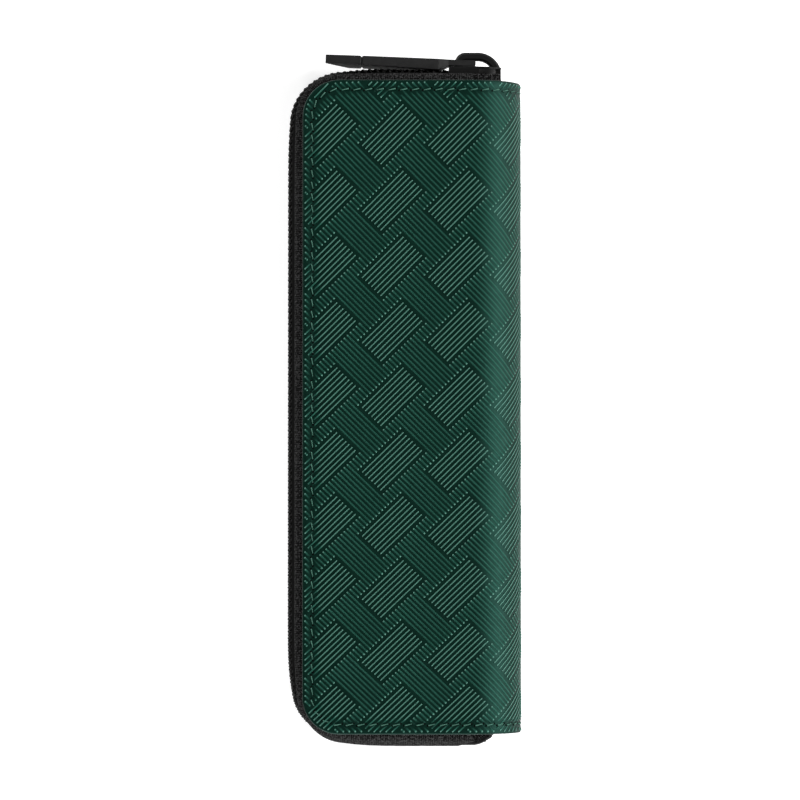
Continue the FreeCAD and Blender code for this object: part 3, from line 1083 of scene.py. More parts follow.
@dataclass(frozen=True)
class WeaveEmboss:
    """Ribbed weave pressed into the leather: bands of ridges over lines that cross them.

    Along a band is one diagonal of the cover, and along a line the other.
    """

    pitch_across: float = 16.2
    pitch_along: float = 15.8
    creep: float = 1.6
    band_x: float = -4.95
    band_y: float = 18.1
    band_ridges: int = 7
    band_length: float = 14.2
    ridge_spacing: float = 1.04
    lines_per_repeat: int = 22
    stop_gap: float = 0.45
    line_gap: float = 0.65
    band_half_width: float = 0.21
    band_height: float = 0.27
    band_waist: float = 0.8
    line_half_width: float = 0.3
    line_height: float = 0.27
    line_waist: float = 0.46
    sunk: float = 0.03
    margin: float = 0.45
    shortest: float = 0.9
    bend_step: float = 1.7
    clip_step: float = 0.2
    spread: int = 13
    sides: int = 6
    rings: int = 5
    bent_cuts: int = 3
    flat_cuts: int = 2

    @property
    def square(self) -> float:
        """Mean pitch, on which the weave is laid out before it is fitted to both pitches."""
        return (self.pitch_across + self.pitch_along) / 2

    @property
    def step(self) -> float:
        """From row to row of bands, square to them."""
        return self.square / math.sqrt(2)

    def bands(self) -> Iterator[Run]:
        """Every ridge of the bands.

        Yields:
            Its ends, as places along and square to the bands.
        """
        for row in range(-self.spread, self.spread + 1):
            for band in range(-self.spread, self.spread + 1):
                if (row + band) % 2 == 0:
                    yield from self.band(band * self.step, row * self.step)

    def lines(self) -> Iterator[Run]:
        """Every ridge of the lines.

        Yields:
            Its ends, as places along and square to the bands.
        """
        count = self.spread * self.lines_per_repeat // 2
        for number in range(-count, count + 1):
            yield from self.line(number * 2 * self.step / self.lines_per_repeat)

    def band(self, along: float, square: float) -> Iterator[Run]:
        """Ridges of one band, side by side.

        Args:
            along: Place of the band's middle along the bands.
            square: Its place square to them.

        Yields:
            Ends of each ridge.
        """
        half = self.band_length / 2
        for number in range(self.band_ridges):
            offset = square + (number - (self.band_ridges - 1) / 2) * self.ridge_spacing
            yield along - half, offset, along + half, offset

    def line(self, along: float) -> Iterator[Run]:
        """Ridges of one line, broken where a band passes over it.

        Args:
            along: Place of the line along the bands.

        Yields:
            Ends of each ridge.
        """
        clear = self.band_length / 2 + self.line_gap
        half_band = self.band_ridges * self.ridge_spacing / 2 + self.stop_gap
        last = None
        for row in range(-self.spread, self.spread + 1):
            offset = (along - row * self.step) % (2 * self.step)
            if min(offset, 2 * self.step - offset) > clear:
                continue
            centre = row * self.step
            if last is not None:
                yield along, last + half_band, along, centre - half_band
            last = centre

    def on_sheet(self, along: float, square: float, wrap: Wrap) -> Vector:
        """Place on the flat sheet of a place in the weave.

        Args:
            along: Place along the bands.
            square: Place square to them.
            wrap: Way round the case.

        Returns:
            The place on the flat sheet.
        """
        across = (square - along) / math.sqrt(2) * self.pitch_across / self.square
        up = (square + along) / math.sqrt(2) * self.pitch_along / self.square + self.band_y
        up += self.creep * (up / wrap.sizes.end) ** 2
        return Vector((wrap.way_on_front(self.band_x) + across, up, 0.0))

    def clipped(
        self, start: Vector, end: Vector, outline: RoundedOutline
    ) -> tuple[Vector, Vector] | None:
        """The stretch of a ridge that lies on the leather.

        Args:
            start: One end of the ridge.
            end: Its other end.
            outline: Outline of the leather.

        Returns:
            Ends of the stretch, or None where it is too short.
        """
        count = max(2, math.ceil((end - start).length / self.clip_step))
        points = [start.lerp(end, number / count) for number in range(count + 1)]
        inside = [point for point in points if outline.depth(point.x, point.y) > self.margin]
        if len(inside) < 2 or (inside[-1] - inside[0]).length < self.shortest:
            return None
        return inside[0], inside[-1]

    def press(self, bm: BMesh, wrap: Wrap, border: float) -> int:
        """Add the ridges to the flat leather.

        Args:
            bm: Flat leather.
            wrap: Way round the case.
            border: Width along the outline where the leather is pulled down.

        Returns:
            Number of ridges.
        """
        outline = wrap.outline()
        count = 0
        kinds = (
            (self.bands(), self.band_half_width, self.band_height, self.band_waist),
            (self.lines(), self.line_half_width, self.line_height, self.line_waist),
        )
        for runs, half_width, height, waist in kinds:
            shape = bead(half_width, height, self.sides, self.rings)
            for run in runs:
                start = self.on_sheet(run[0], run[1], wrap)
                end = self.on_sheet(run[2], run[3], wrap)
                ends = self.clipped(start, end, outline)
                if ends is not None:
                    add_copy(bm, self.ridge(shape, waist, *ends, wrap, border))
                    count += 1
            shape.free()
        return count

    def ridge(
        self, shape: BMesh, waist: float, start: Vector, end: Vector, wrap: Wrap, border: float
    ) -> BMesh:
        """One ridge on the flat sheet, cut into short steps where the leather bends.

        Args:
            shape: Bead to draw out.
            waist: Height between the ends, as a share of theirs.
            start: One end of the ridge.
            end: Its other end.
            wrap: Way round the case.
            border: Width along the outline where the leather is pulled down.

        Returns:
            The ridge.
        """
        outline = wrap.outline()
        length = (end - start).length
        near_edge = min(outline.depth(p.x, p.y) for p in (start, end)) < border
        near_bend = min(abs(start.x), abs(end.x)) < wrap.bend_end + border
        cuts = self.flat_cuts
        if near_edge or near_bend:
            cuts = max(self.bent_cuts, math.ceil(length / self.bend_step))
        ridge = drawn_out(shape, length, cuts, waist)
        heading = math.atan2(end.y - start.y, end.x - start.x)
        middle = (start + end) / 2 - Vector((0, 0, self.sunk))
        ridge.transform(Matrix.Translation(middle) @ Matrix.Rotation(heading, 4, "Z"))
        return ridge


@dataclass(frozen=True)
class StitchRow:
    """Row of stitches sewn along an outline."""

    inset: float
    pitch: float = 2.88
    length: float = 1.9
    half_width: float = 0.13
    height: float = 0.15
    slant: float = -13.0
    arch: float = 0.16
    swell: float = 0.4
    sides: int = 8
    rings: int = 5
    cuts: int = 3
    hole: float = 0.3
    hole_rings: int = 3

    def places(self, path: RoundedOutline) -> Iterator[Matrix]:
        """Places of the stitches on the flat sheet.

        Args:
            path: Outline that the row follows.

        Yields:
            Place and turn of each stitch.
        """
        count = round(path.length / self.pitch)
        for number in range(count):
            point, heading = path.at(path.length * (number + 0.5) / count)
            turn = heading + math.radians(self.slant)
            yield Matrix.Translation(point) @ Matrix.Rotation(turn, 4, "Z")

    def threads(self, path: RoundedOutline) -> BMesh:
        """Thread of every stitch, on the flat sheet.

        Args:
            path: Outline that the row follows.

        Returns:
            The threads.
        """
        shape = bead(self.half_width, self.height, self.sides, self.rings)
        stitch = drawn_out(shape, self.length, self.cuts)
        shape.free()
        for vert in stitch.verts:
            way = 2 * vert.co.x / self.length
            vert.co.yz *= 1 + self.swell * way
            vert.co.z += self.height - self.arch * way**2
        lay_uv(stitch, lambda vert: (vert.co.x, vert.co.y))
        bm = bmesh.new()
        for place in self.places(path):
            copy = stitch.copy()
            copy.transform(place)
            add_copy(bm, copy)
        stitch.free()
        return bm

    def hole_shades(self, path: RoundedOutline) -> BMesh:
        """Dark dots at the ends of every stitch, on the flat sheet, as painted shade in the needle holes.

        Args:
            path: Outline that the row follows.

        Returns:
            The dots of painted shade.
        """
        bm = bmesh.new()
        half = (self.length + self.hole) / 2
        for place in self.places(path):
            for end in (-half, half):
                shade_dot = bead(self.hole, self.height / 2, self.sides, self.hole_rings)
                shade_dot.transform(place @ Matrix.Translation((end, 0, 0)))
                add_copy(bm, shade_dot)
        return bm


@dataclass
class Cover:
    """Covers of the case: leather outside, board and lining inside, sewn along the edge."""

    sizes: CaseSizes
    finishes: Finishes
    board: float = 0.8
    board_gap: float = 0.05
    board_inset: float = 5.2
    board_rim: float = 0.1
    lining: float = 0.6
    lining_inset: float = 1.0
    lining_rim: float = 0.15
    rim: float = 0.3
    wall_slope: float = 0.5
    sharp: float = 50.0
    groove: float = 0.16
    groove_width: float = 0.6
    emboss: WeaveEmboss = WeaveEmboss()
    stitching: StitchRow = StitchRow(inset=2.35)

    def __post_init__(self) -> None:
        """Find the way round the case."""
        self.wrap = Wrap(self.sizes)

    def build(self) -> None:
        """Make every layer and its sewing."""
        self.outside()
        path = self.wrap.outline(self.stitching.inset)
        self.sewing("cover_stitching", self.stitching.threads(path), self.finishes.thread)
        # The dark dots at the stitch ends are painted shade in the needle holes.
        self.sewing("needle_holes", self.stitching.hole_shades(path), self.finishes.needle_hole)
        self.inside()

    def pull_down(self, bm: BMesh, flatten: bool) -> None:
        """Pull a flat mesh down along the sewn edge.

        Args:
            bm: Mesh on the flat sheet.
            flatten: Whether what stands up is pressed flat there too.
        """
        outline = self.wrap.outline()
        for vert in bm.verts:
            if vert.co.z > -self.sizes.leather / 2:
                off = outline.depth(vert.co.x, vert.co.y) - self.stitching.inset
                share = math.exp(-((off / self.groove_width) ** 2))
                if flatten:
                    vert.co.z *= 1 - share
                vert.co.z -= self.groove * share

    def outside(self) -> None:
        """Leather round both covers and the spine, with its pressed weave."""
        inset = self.stitching.inset
        step = self.groove_width
        loops = [inset - 2 * step, step, step, step, step]
        bm = self.wrap.outline().sheet(loops, self.wrap.cuts)
        thicken(bm, -self.sizes.leather)
        bm.normal_update()
        walls = [face for face in bm.faces if abs(face.normal.z) < self.wall_slope]
        for face in walls:
            face.material_index = 1
        rim = [edge for edge in bent_edges(bm) if min(vert.co.z for vert in edge.verts) > -NEAR]
        round_edges(bm, rim, self.rim)
        count = self.emboss.press(bm, self.wrap, 2 * inset)
        LOG.info("pressed weave: %d ridges", count)
        self.pull_down(bm, flatten=True)
        # Height of the weave, which the leather's painted highlights follow.
        lift = bm.verts.layers.float.new(LIFT)
        for vert in bm.verts:
            vert[lift] = max(vert.co.z, 0.0)
        self.wrap.fold(bm)
        materials = [self.finishes.cover, self.finishes.cut_edge]
        piece = finished(bm, "cover_leather", materials, self.sharp)
        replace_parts(piece, "back_cover", "front_cover")
        self.wrap.bend_with_cover(piece)

    def sewing(self, name: str, bm: BMesh, material: Material) -> None:
        """Lay a flat mesh of the sewing round the case.

        Args:
            name: Name of the piece.
            bm: Mesh on the flat sheet, which is freed.
            material: Its finish.
        """
        self.pull_down(bm, flatten=False)
        self.wrap.fold(bm)
        piece = finished(bm, name, [material])
        self.wrap.bend_with_cover(piece)

    def inside(self) -> None:
        """Board and lining."""
        board = WrapLayer(
            name="stiffener",
            slot="stiffener_board",
            depth=self.sizes.leather,
            thickness=self.board - self.board_gap,
            inset=self.board_inset,
            rim=self.board_rim,
        )
        piece = board.build(self.wrap, self.finishes.board)
        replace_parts(piece, "back_stiffener", "front_stiffener")
        lining = WrapLayer(
            name="lining",
            slot="lining_cloth",
            depth=self.sizes.lining_depth,
            thickness=self.lining,
            inset=self.lining_inset,
            rim=self.lining_rim,
        )
        piece = lining.build(self.wrap, self.finishes.lining)
        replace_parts(piece, "back_lining", "front_lining")
        cut = self.wrap.outline(self.lining_inset)


@dataclass(frozen=True)
class ZipRun:
    """One stretch of the zip's line: a length straight on, or a quarter turn with a radius."""

    length: float
    radius: float = 0.0

    def long(self, out: float) -> float:
        """Length of the stretch at a distance out from the leather's edge."""
        return self.length if not self.radius else (self.radius + out) * math.pi / 2


@dataclass(frozen=True)
class ZipLine:
    """Line of the zip along the leather's edge, from the pull's end round to the foot."""

    start: Vector
    runs: tuple[ZipRun, ...]
    straight_step: float = 4.0

    @classmethod
    def round_case(cls, sizes: CaseSizes, start_x: float, foot_radius: float | None) -> "ZipLine":
        """Line round three sides of the case.

        Args:
            sizes: Sizes of the case.
            start_x: Place across the case where it starts.
            foot_radius: Radius with which it turns in at the foot, or None.

        Returns:
            The line.
        """
        corner = sizes.corner_radius
        bend = sizes.free_edge + corner
        runs = [
            ZipRun(start_x - bend),
            ZipRun(0.0, corner),
            ZipRun(2 * (sizes.end - corner)),
            ZipRun(0.0, corner),
            ZipRun(sizes.spine_centre - bend),
        ]
        if foot_radius is not None:
            runs.append(ZipRun(0.0, foot_radius))
        return cls(Vector((start_x, sizes.end, 0.0)), tuple(runs))

    def length(self, out: float) -> float:
        """Length of the whole line at a distance out from the leather's edge."""
        return sum(run.long(out) for run in self.runs)

    def steps(self, out: float, arc_steps: int) -> Iterator[tuple[Matrix, float]]:
        """Rigid moves that carry a section along the line.

        Args:
            out: Distance out from the leather's edge at which lengths are measured.
            arc_steps: Number of moves round each corner.

        Yields:
            Each move and its length.
        """
        point, heading = self.start.copy(), math.pi
        for run in self.runs:
            forward = Vector((math.cos(heading), math.sin(heading), 0.0))
            if not run.radius:
                count = math.ceil(run.length / self.straight_step)
                for _ in range(count):
                    yield Matrix.Translation(forward * run.length / count), run.length / count
                point = point + forward * run.length
                continue
            centre = point + Vector((-forward.y, forward.x, 0.0)) * run.radius
            angle = math.pi / 2 / arc_steps
            spin = Matrix.Rotation(angle, 4, "Z")
            move = Matrix.Translation(centre) @ spin @ Matrix.Translation(-centre)
            for _ in range(arc_steps):
                yield move, run.long(out) / arc_steps
                point = move @ point
            heading += math.pi / 2

    def at(self, way: float, out: float) -> tuple[Vector, Vector]:
        """Point on the leather's edge and direction outwards, at a way along the line.

        Args:
            way: Way along the line.
            out: Distance out from the leather's edge at which the way is measured.

        Returns:
            The point and the direction.
        """
        point, heading = self.start.copy(), math.pi
        for run in self.runs:
            step = min(way, run.long(out))
            forward = Vector((math.cos(heading), math.sin(heading), 0.0))
            if run.radius:
                bend = step / (run.radius + out)
                centre = point + Vector((-forward.y, forward.x, 0.0)) * run.radius
                point = centre + Matrix.Rotation(bend, 3, "Z") @ (point - centre)
                heading += bend
            else:
                point = point + forward * step
            way -= step
            if way <= 0:
                break
        return point, Vector((math.sin(heading), -math.cos(heading), 0.0))


def tube(points: Sequence[Vector], radius: float, sides: int) -> BMesh:
    """Round tube along points.

    Args:
        points: Points of its middle line.
        radius: Radius of the tube.
        sides: Number of faces round it, an even number.

    Returns:
        The mesh, closed at both ends.
    """
    curve = bpy.data.curves.new("tube", "CURVE")
    curve.dimensions = "3D"
    curve.bevel_depth = radius
    curve.bevel_resolution = sides // 2 - 2
    curve.use_fill_caps = True
    spline = curve.splines.new("POLY")
    spline.points.add(len(points) - 1)
    for target, point in zip(spline.points, points):
        target.co = (*point, 1.0)
    holder = bpy.data.objects.new("tube", curve)
    mesh = bpy.data.meshes.new_from_object(holder)
    bm = bmesh.new()
    bm.from_mesh(mesh)
    bpy.data.objects.remove(holder)
    bpy.data.curves.remove(curve)
    bpy.data.meshes.remove(mesh)
    return bm


@dataclass
class ZipHalf:
    """One half of the zip: woven tape, a row of coils, its core and its sewing."""

    side: Side
    sizes: CaseSizes
    finishes: Finishes
    seam: float = 4.8
    tape: float = 0.8
    tape_stand: float = 2.0
    tape_split: float = 1.6
    lip: float = 0.2
    bend_steps: int = 6
    wall_steps: int = 7
    wall_rise: float = 1.8
    corner_steps: int = 14
    foot_turn: float = 4.2
    foot_steps: int = 6
    stop_gap: float = 0.3
    coil_height: float = 1.4
    coil_width: float = 3.8
    coil_overlap: float = 0.4
    coil_lift: float = 0.3
    coil_bow: float = 0.25
    slack: float = 0.35
    slack_x: float = -9.0
    slack_reach: float = 6.5
    foot_sink: float = 0.6
    foot_draw: float = 2.0
    pull_draw: float = 0.8
    draw_reach: float = 9.5
    swell: float = 1.2
    swell_end: float = 2.5
    wire: float = 0.42
    wire_sides: int = 6
    tooth_pitch: float = 1.55
    turn_points: int = 9
    core: float = 0.65
    core_sink: float = 0.1
    core_rise: float = 0.75
    core_steps: int = 240
    stitch_half_width: float = 0.17
    stitch_height: float = 0.2
    stitch_length: float = 1.1
    stitch_sides: int = 6
    stitch_rings: int = 5
    stitch_stand: float = 0.1
    stitch_drop: float = 0.25

    @property
    def tape_edge(self) -> float:
        """Height of the tape's free edge on the back half."""
        return self.sizes.middle - self.tape_split / 2

    @property
    def tape_bend(self) -> float:
        """Height at which the back half's tape has bent up to a wall."""
        return self.sizes.leather + self.tape_stand

    @property
    def coil_low(self) -> float:
        """Lower edge of the back half's row."""
        return self.sizes.middle - self.coil_width / 2

    @property
    def coil_start(self) -> float:
        """Place of the row's first turn, beside the top stop."""
        return box_mm("back_top_stop")[0].x - self.stop_gap

    @property
    def coil_out(self) -> float:
        """Distance of the row's middle out from the leather's edge, before it is lifted."""
        return self.tape_stand + self.coil_height / 2

    @property
    def tape_inside(self) -> float:
        """Distance of the tape's inner face out from the leather's edge."""
        return self.tape_stand - self.tape

    @property
    def tape_top(self) -> Corners:
        """Corners of the tape's free edge.

        Returns:
            The corners, from the outer face to the inner.
        """
        below = self.tape_edge - self.lip
        return [
            (self.tape_stand, below),
            (self.tape_stand - self.lip, self.tape_edge),
            (self.tape_inside + self.lip, self.tape_edge),
            (self.tape_inside, below),
        ]

    @property
    def line(self) -> ZipLine:
        """Line of the row, which turns in at the foot."""
        return ZipLine.round_case(self.sizes, self.coil_start, self.foot_turn - self.tape_stand)

    def build(self) -> None:
        """Make the tape, the row, its core and its sewing."""
        tape = self.placed(self.tape_mesh(), "zip_tape", [self.finishes.tape])
        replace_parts(tape, self.side.node("zip_tape"))
        row = self.placed(self.coil_mesh(), "zip_coil", [self.finishes.coil])
        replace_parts(row, self.side.node("zip_coil"))
        sewing = self.placed(self.sewing_mesh(), "zip_sewing", [self.finishes.sewing])

    def placed(self, bm: BMesh, name: str, materials: Sequence[Material]) -> Object:
        """Finish a mesh of the back half on this half, and let it ride there.

        Args:
            bm: Mesh of the back half, which is freed.
            name: Name of the piece, without its half.
            materials: Its materials.

        Returns:
            The finished piece.
        """
        self.settle(bm)
        if self.side is Side.FRONT:
            flip = Matrix.Translation((0, 0, self.sizes.depth)) @ Matrix.Scale(-1, 4, (0, 0, 1))
            bm.transform(flip)
        piece = finished(bm, self.side.node(name), materials)
        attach(piece, self.side.body)
        return piece

    def beside(self, place: Vector) -> tuple[Vector, float, float]:
        """Where a place lies beside the leather's free edge.

        Args:
            place: Place on the back half.

        Returns:
            Direction outwards, distance out from the edge, and way from the corner's middle.
        """
        radius = self.sizes.corner_radius
        end = math.copysign(1.0, place.y)
        across = self.sizes.free_edge + radius - place.x
        along = abs(place.y) - self.sizes.end + radius
        half_corner = radius * math.pi / 4
        if across > 0 and along > 0:
            outward = Vector((-across, end * along, 0.0))
            way = radius * math.atan2(along, across) - half_corner
            return outward.normalized(), outward.length - radius, way
        if across > 0:
            return Vector((-1.0, 0.0, 0.0)), across - radius, along - half_corner
        return Vector((0.0, end, 0.0)), along - radius, half_corner - across

    def settle(self, bm: BMesh) -> None:
        """Draw a mesh of the back half in at the corners, and let the tape swell at the foot.

        Args:
            bm: Mesh of the back half.
        """
        for vert in bm.verts:
            outward, out, way = self.beside(vert.co)
            if out <= 0:
                continue
            rise = (vert.co.z - self.tape_bend) / (self.coil_low - self.tape_bend)
            rise = min(max(rise, 0.0), 1.0)
            draw = self.foot_draw if vert.co.y < 0 else self.pull_draw
            draw *= math.exp(-((way / self.draw_reach) ** 2)) * (1 + rise) / 2
            swell = self.swell * max(-outward.y, 0.0) ** 2 * math.sin(math.pi * rise)
            swell *= min(max((self.sizes.spine_centre - vert.co.x) / self.swell_end, 0.0), 1.0)
            free = min(out / self.tape_inside, 1.0)
            vert.co += outward * (swell - draw) * free

    def section(self, bm: BMesh, x: float, corners: Corners) -> list[BMEdge]:
        """Closed section of the tape, out from the leather's edge and up.

        Args:
            bm: Mesh that gets it.
            x: Place across the case.
            corners: Its corners in order.

        Returns:
            Its edges.
        """
        across = bm.verts.layers.float.get("across") or bm.verts.layers.float.new("across")
        verts = []
        way = 0.0
        for number, (out, up) in enumerate(corners):
            vert = bm.verts.new((x, self.sizes.end + out, up))
            if number:
                way += math.dist((out, up), corners[number - 1])
            vert[across] = way
            verts.append(vert)
        return [bm.edges.new((verts[k - 1], verts[k])) for k in range(len(verts))]

    def swept(self, bm: BMesh, edges: list[BMEdge], steps: Iterator[tuple[Matrix, float]]) -> None:
        """Carry a section along steps and close both ends.

        Args:
            bm: Mesh that holds the section.
            edges: Edges of the section.
            steps: Moves along the way, each with its length.
        """
        along = bm.verts.layers.float.get("along") or bm.verts.layers.float.new("along")
        bmesh.ops.edgeloop_fill(bm, edges=edges)
        for move, length in steps:
            made = bmesh.ops.extrude_edge_only(bm, edges=edges)["geom"]
            edges, verts = picked(made, BMEdge), picked(made, BMVert)
            bmesh.ops.transform(bm, matrix=move, verts=verts)
            for vert in verts:
                vert[along] += length
        bmesh.ops.edgeloop_fill(bm, edges=edges)

    def tape_profile(self) -> Corners:
        """Section of the tape along the leather's edge.

        Returns:
            Its corners, out from the leather's edge and up.
        """
        low, stand, inside = self.sizes.leather, self.tape_stand, self.tape_inside
        angles = [math.pi / 2 * k / self.bend_steps for k in range(self.bend_steps + 1)]
        outer = [(stand * math.sin(a), low + stand - stand * math.cos(a)) for a in angles]
        inner = [(inside * math.sin(a), low + stand - inside * math.cos(a)) for a in angles]
        height = self.tape_edge - self.lip - self.tape_bend
        rises = [self.tape_bend + height * k / self.wall_steps for k in range(1, self.wall_steps)]
        outer += [(stand, rise) for rise in rises]
        inner += [(inside, rise) for rise in rises]
        flat = [(-self.seam, low + self.tape), (-self.seam, low)]
        return [*flat, *outer, *self.tape_top, *reversed(inner)]

    def wall_profile(self) -> Corners:
        """Section of the tape where it runs on beside the spine.

        Returns:
            Its corners, out from the leather's edge and up.
        """
        low = self.sizes.inside_depth + self.wall_rise
        high = low + self.tape
        web = self.foot_turn - 2 * self.tape_stand - self.tape
        inner = [(self.tape_inside, high), (web, high)]
        return [(web, low), (self.tape_stand, low), *self.tape_top, *inner]

    def tuck_in(self, bm: BMesh) -> None:
        """Add the tape's foot, which turns in beside the spine.

        Args:
            bm: Tape that gets it.
        """
        centre = self.sizes.spine_centre
        edges = self.section(bm, centre, self.wall_profile())
        verts = list({vert for edge in edges for vert in edge.verts})
        half_turn = Matrix.Rotation(math.pi, 3, "Z")
        bmesh.ops.rotate(bm, cent=(centre, 0, 0), matrix=half_turn, verts=verts)
        turn = ZipRun(0.0, self.foot_turn - self.tape_stand)
        hub = Vector((centre, turn.radius - self.sizes.end, 0))
        spin = Matrix.Rotation(math.pi / 2 / self.foot_steps, 4, "Z")
        step = Matrix.Translation(hub) @ spin @ Matrix.Translation(-hub)
        length = turn.long(self.tape_stand) / self.foot_steps
        self.swept(bm, edges, iter([(step, length)] * self.foot_steps))

    def tape_mesh(self) -> BMesh:
        """Tape: flat under the leather, bent up to a wall, which runs on beside the spine.

        Returns:
            The tape of the back half.
        """
        bm = bmesh.new()
        centre = self.sizes.spine_centre
        straight = ZipLine.round_case(self.sizes, centre, None)
        tape = self.section(bm, centre, self.tape_profile())
        self.swept(bm, tape, straight.steps(self.tape_stand, self.corner_steps))
        run_on = box_mm("back_zip_tape")[1].x - centre
        wall = self.section(bm, centre, self.wall_profile())
        self.swept(bm, wall, iter([(Matrix.Translation((run_on, 0, 0)), run_on)]))
        self.tuck_in(bm)
        across, along = bm.verts.layers.float["across"], bm.verts.layers.float["along"]
        lay_uv(bm, lambda vert: (vert[along], vert[across]))
        return bm

    def coil_stand(self, point: Vector, outward: Vector) -> float:
        """How far the row stands off the tape.

        Args:
            point: Point on the leather's edge.
            outward: Direction outwards there.

        Returns:
            The distance.
        """
        lift = self.coil_lift + self.coil_bow * outward.x**2
        lift -= self.foot_sink * max(-outward.y, 0.0) ** 2
        if outward.y > 0:
            off = (point.x - self.slack_x) / self.slack_reach
            lift += self.slack * outward.y * math.exp(-(off**2))
        return lift

    def wire_points(self) -> list[Vector]:
        """Points along the wire, half a turn on for the front half.

        Returns:
            The points, turn after turn.
        """
        line, out = self.line, self.coil_out
        high = self.sizes.middle + self.coil_overlap
        half_out = self.coil_height / 2 - self.wire
        half_up = (high - self.coil_low) / 2 - self.wire
        middle_up = (self.coil_low + high) / 2
        turns = math.floor(line.length(out) / self.tooth_pitch)
        phase = 0.0 if self.side is Side.BACK else 0.5
        points = []
        for number in range(turns * self.turn_points):
            turn = number / self.turn_points
            point, outward = line.at((turn + phase) * self.tooth_pitch, out)
            angle = 2 * math.pi * turn
            stand = out + self.coil_stand(point, outward) + half_out * math.cos(angle)
            rise = Vector((0, 0, middle_up + half_up * math.sin(angle)))
            points.append(point + outward * stand + rise)
        return points

    def core_points(self) -> list[Vector]:
        """Points along the core that the wire is wound over.

        Returns:
            The points.
        """
        line, out = self.line, self.coil_out
        stand = self.tape_stand + self.core - self.core_sink
        rise = Vector((0, 0, self.coil_low + self.core_rise))
        points = []
        for number in range(self.core_steps + 1):
            point, outward = line.at(line.length(out) * number / self.core_steps, out)
            points.append(point + outward * stand + rise)
        return points

    def coil_mesh(self) -> BMesh:
        """Row of the zip: wire wound in flat loops, over a core.

        Returns:
            The row of the back half.
        """
        bm = tube(self.wire_points(), self.wire, self.wire_sides)
        add_copy(bm, tube(self.core_points(), self.core, self.wire_sides))
        return bm

    def sewing_mesh(self) -> BMesh:
        """Stitches that hold the row to the tape, one for each turn.

        Returns:
            The stitches of the back half.
        """
        line, out = self.line, self.tape_stand
        shape = bead(
            self.stitch_half_width, self.stitch_height, self.stitch_sides, self.stitch_rings
        )
        stitch = drawn_out(shape, self.stitch_length)
        shape.free()
        lay_uv(stitch, lambda vert: (vert.co.x, vert.co.y))
        rise = Vector((0, 0, self.coil_low - self.stitch_drop))
        bm = bmesh.new()
        for number in range(math.floor(line.length(out) / self.tooth_pitch)):
            point, outward = line.at((number + 0.5) * self.tooth_pitch, out)
            heading = math.atan2(outward.y, outward.x) + math.pi / 2
            place = point + outward * (out + self.stitch_stand) + rise
            copy = stitch.copy()
            copy.transform(
                Matrix.Translation(place)
                @ Matrix.Rotation(heading, 4, "Z")
                @ Matrix.Rotation(math.pi / 2, 4, "X")
            )
            add_copy(bm, copy)
        stitch.free()
        return bm


@dataclass
class PenLoops:
    """Patch on the back lining, and the two leather loops that hold the pens."""

    finishes: Finishes
    wall: float = 1.0
    corner: float = 4.0
    foot_radius: float = 1.2
    foot_steps: int = 4
    arch_share: float = 0.999
    arch_steps: int = 16
    merge: float = 0.05
    rim: float = 0.25
    stitching: StitchRow = StitchRow(inset=1.6, pitch=2.6)

    def build(self) -> None:
        """Make the patch, its sewing and the loops."""
        self.patch()
        for name in ("pen_loop_left", "pen_loop_right"):
            self.loop(name)

    def ride(self, bm: BMesh, name: str, material: Material) -> Object:
        """Finish a mesh that rides on the back half.

        Args:
            bm: Mesh to finish, which is freed.
            name: Name of the piece.
            material: Its finish.

        Returns:
            The finished piece.
        """
        piece = finished(bm, name, [material])
        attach(piece, Side.BACK.body)
        return piece

    def patch(self) -> None:
        """Patch with rounded corners, sewn along its edge."""
        low, high = box_mm("loop_patch")
        half = (high - low) / 2
        place = Matrix.Translation((low.x + half.x, low.y + half.y, high.z))
        outline = RoundedOutline(half.x, half.y, self.corner)
        bm = outline.sheet([], [])
        thicken(bm, low.z - high.z)
        round_edges(bm, bent_edges(bm), self.rim)
        bm.transform(place)
        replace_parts(self.ride(bm, "patch_leather", self.finishes.loop), "loop_patch")
        path = outline.inset(self.stitching.inset)
        threads = self.stitching.threads(path)
        threads.transform(place)
        self.ride(threads, "patch_stitching", self.finishes.loop_thread)

    def loop(self, name: str) -> None:
        """Closed band with a flat foot and an arched top.

        Args:
            name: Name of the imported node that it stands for.
        """
        low, high = box_mm(name)
        half = (high - low) / 2
        bm = rectangle(half.x, half.z)
        top = [vert for vert in bm.verts if vert.co.y > 0]
        foot = [vert for vert in bm.verts if vert.co.y < 0]
        round_corners(bm, foot, self.foot_radius, self.foot_steps)
        round_corners(bm, top, half.x * self.arch_share, self.arch_steps)
        bmesh.ops.remove_doubles(bm, verts=bm.verts, dist=self.merge)
        upright = Matrix.Rotation(math.pi / 2, 3, "X")
        bmesh.ops.rotate(bm, cent=Vector(), matrix=upright, verts=bm.verts)
        bmesh.ops.delete(bm, geom=bm.faces[:], context="FACES_ONLY")
        made = bmesh.ops.extrude_edge_only(bm, edges=bm.edges[:])["geom"]
        bmesh.ops.translate(bm, vec=Vector((0, 2 * half.y, 0)), verts=picked(made, BMVert))
        bmesh.ops.recalc_face_normals(bm, faces=bm.faces[:])
        bmesh.ops.solidify(bm, geom=bm.faces[:], thickness=self.wall)
        round_edges(bm, bent_edges(bm), self.rim)
        place = Vector((low.x + half.x, low.y, low.z + half.z))
        bmesh.ops.translate(bm, vec=place, verts=bm.verts)
        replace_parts(self.ride(bm, f"{name}_leather", self.finishes.loop), name)


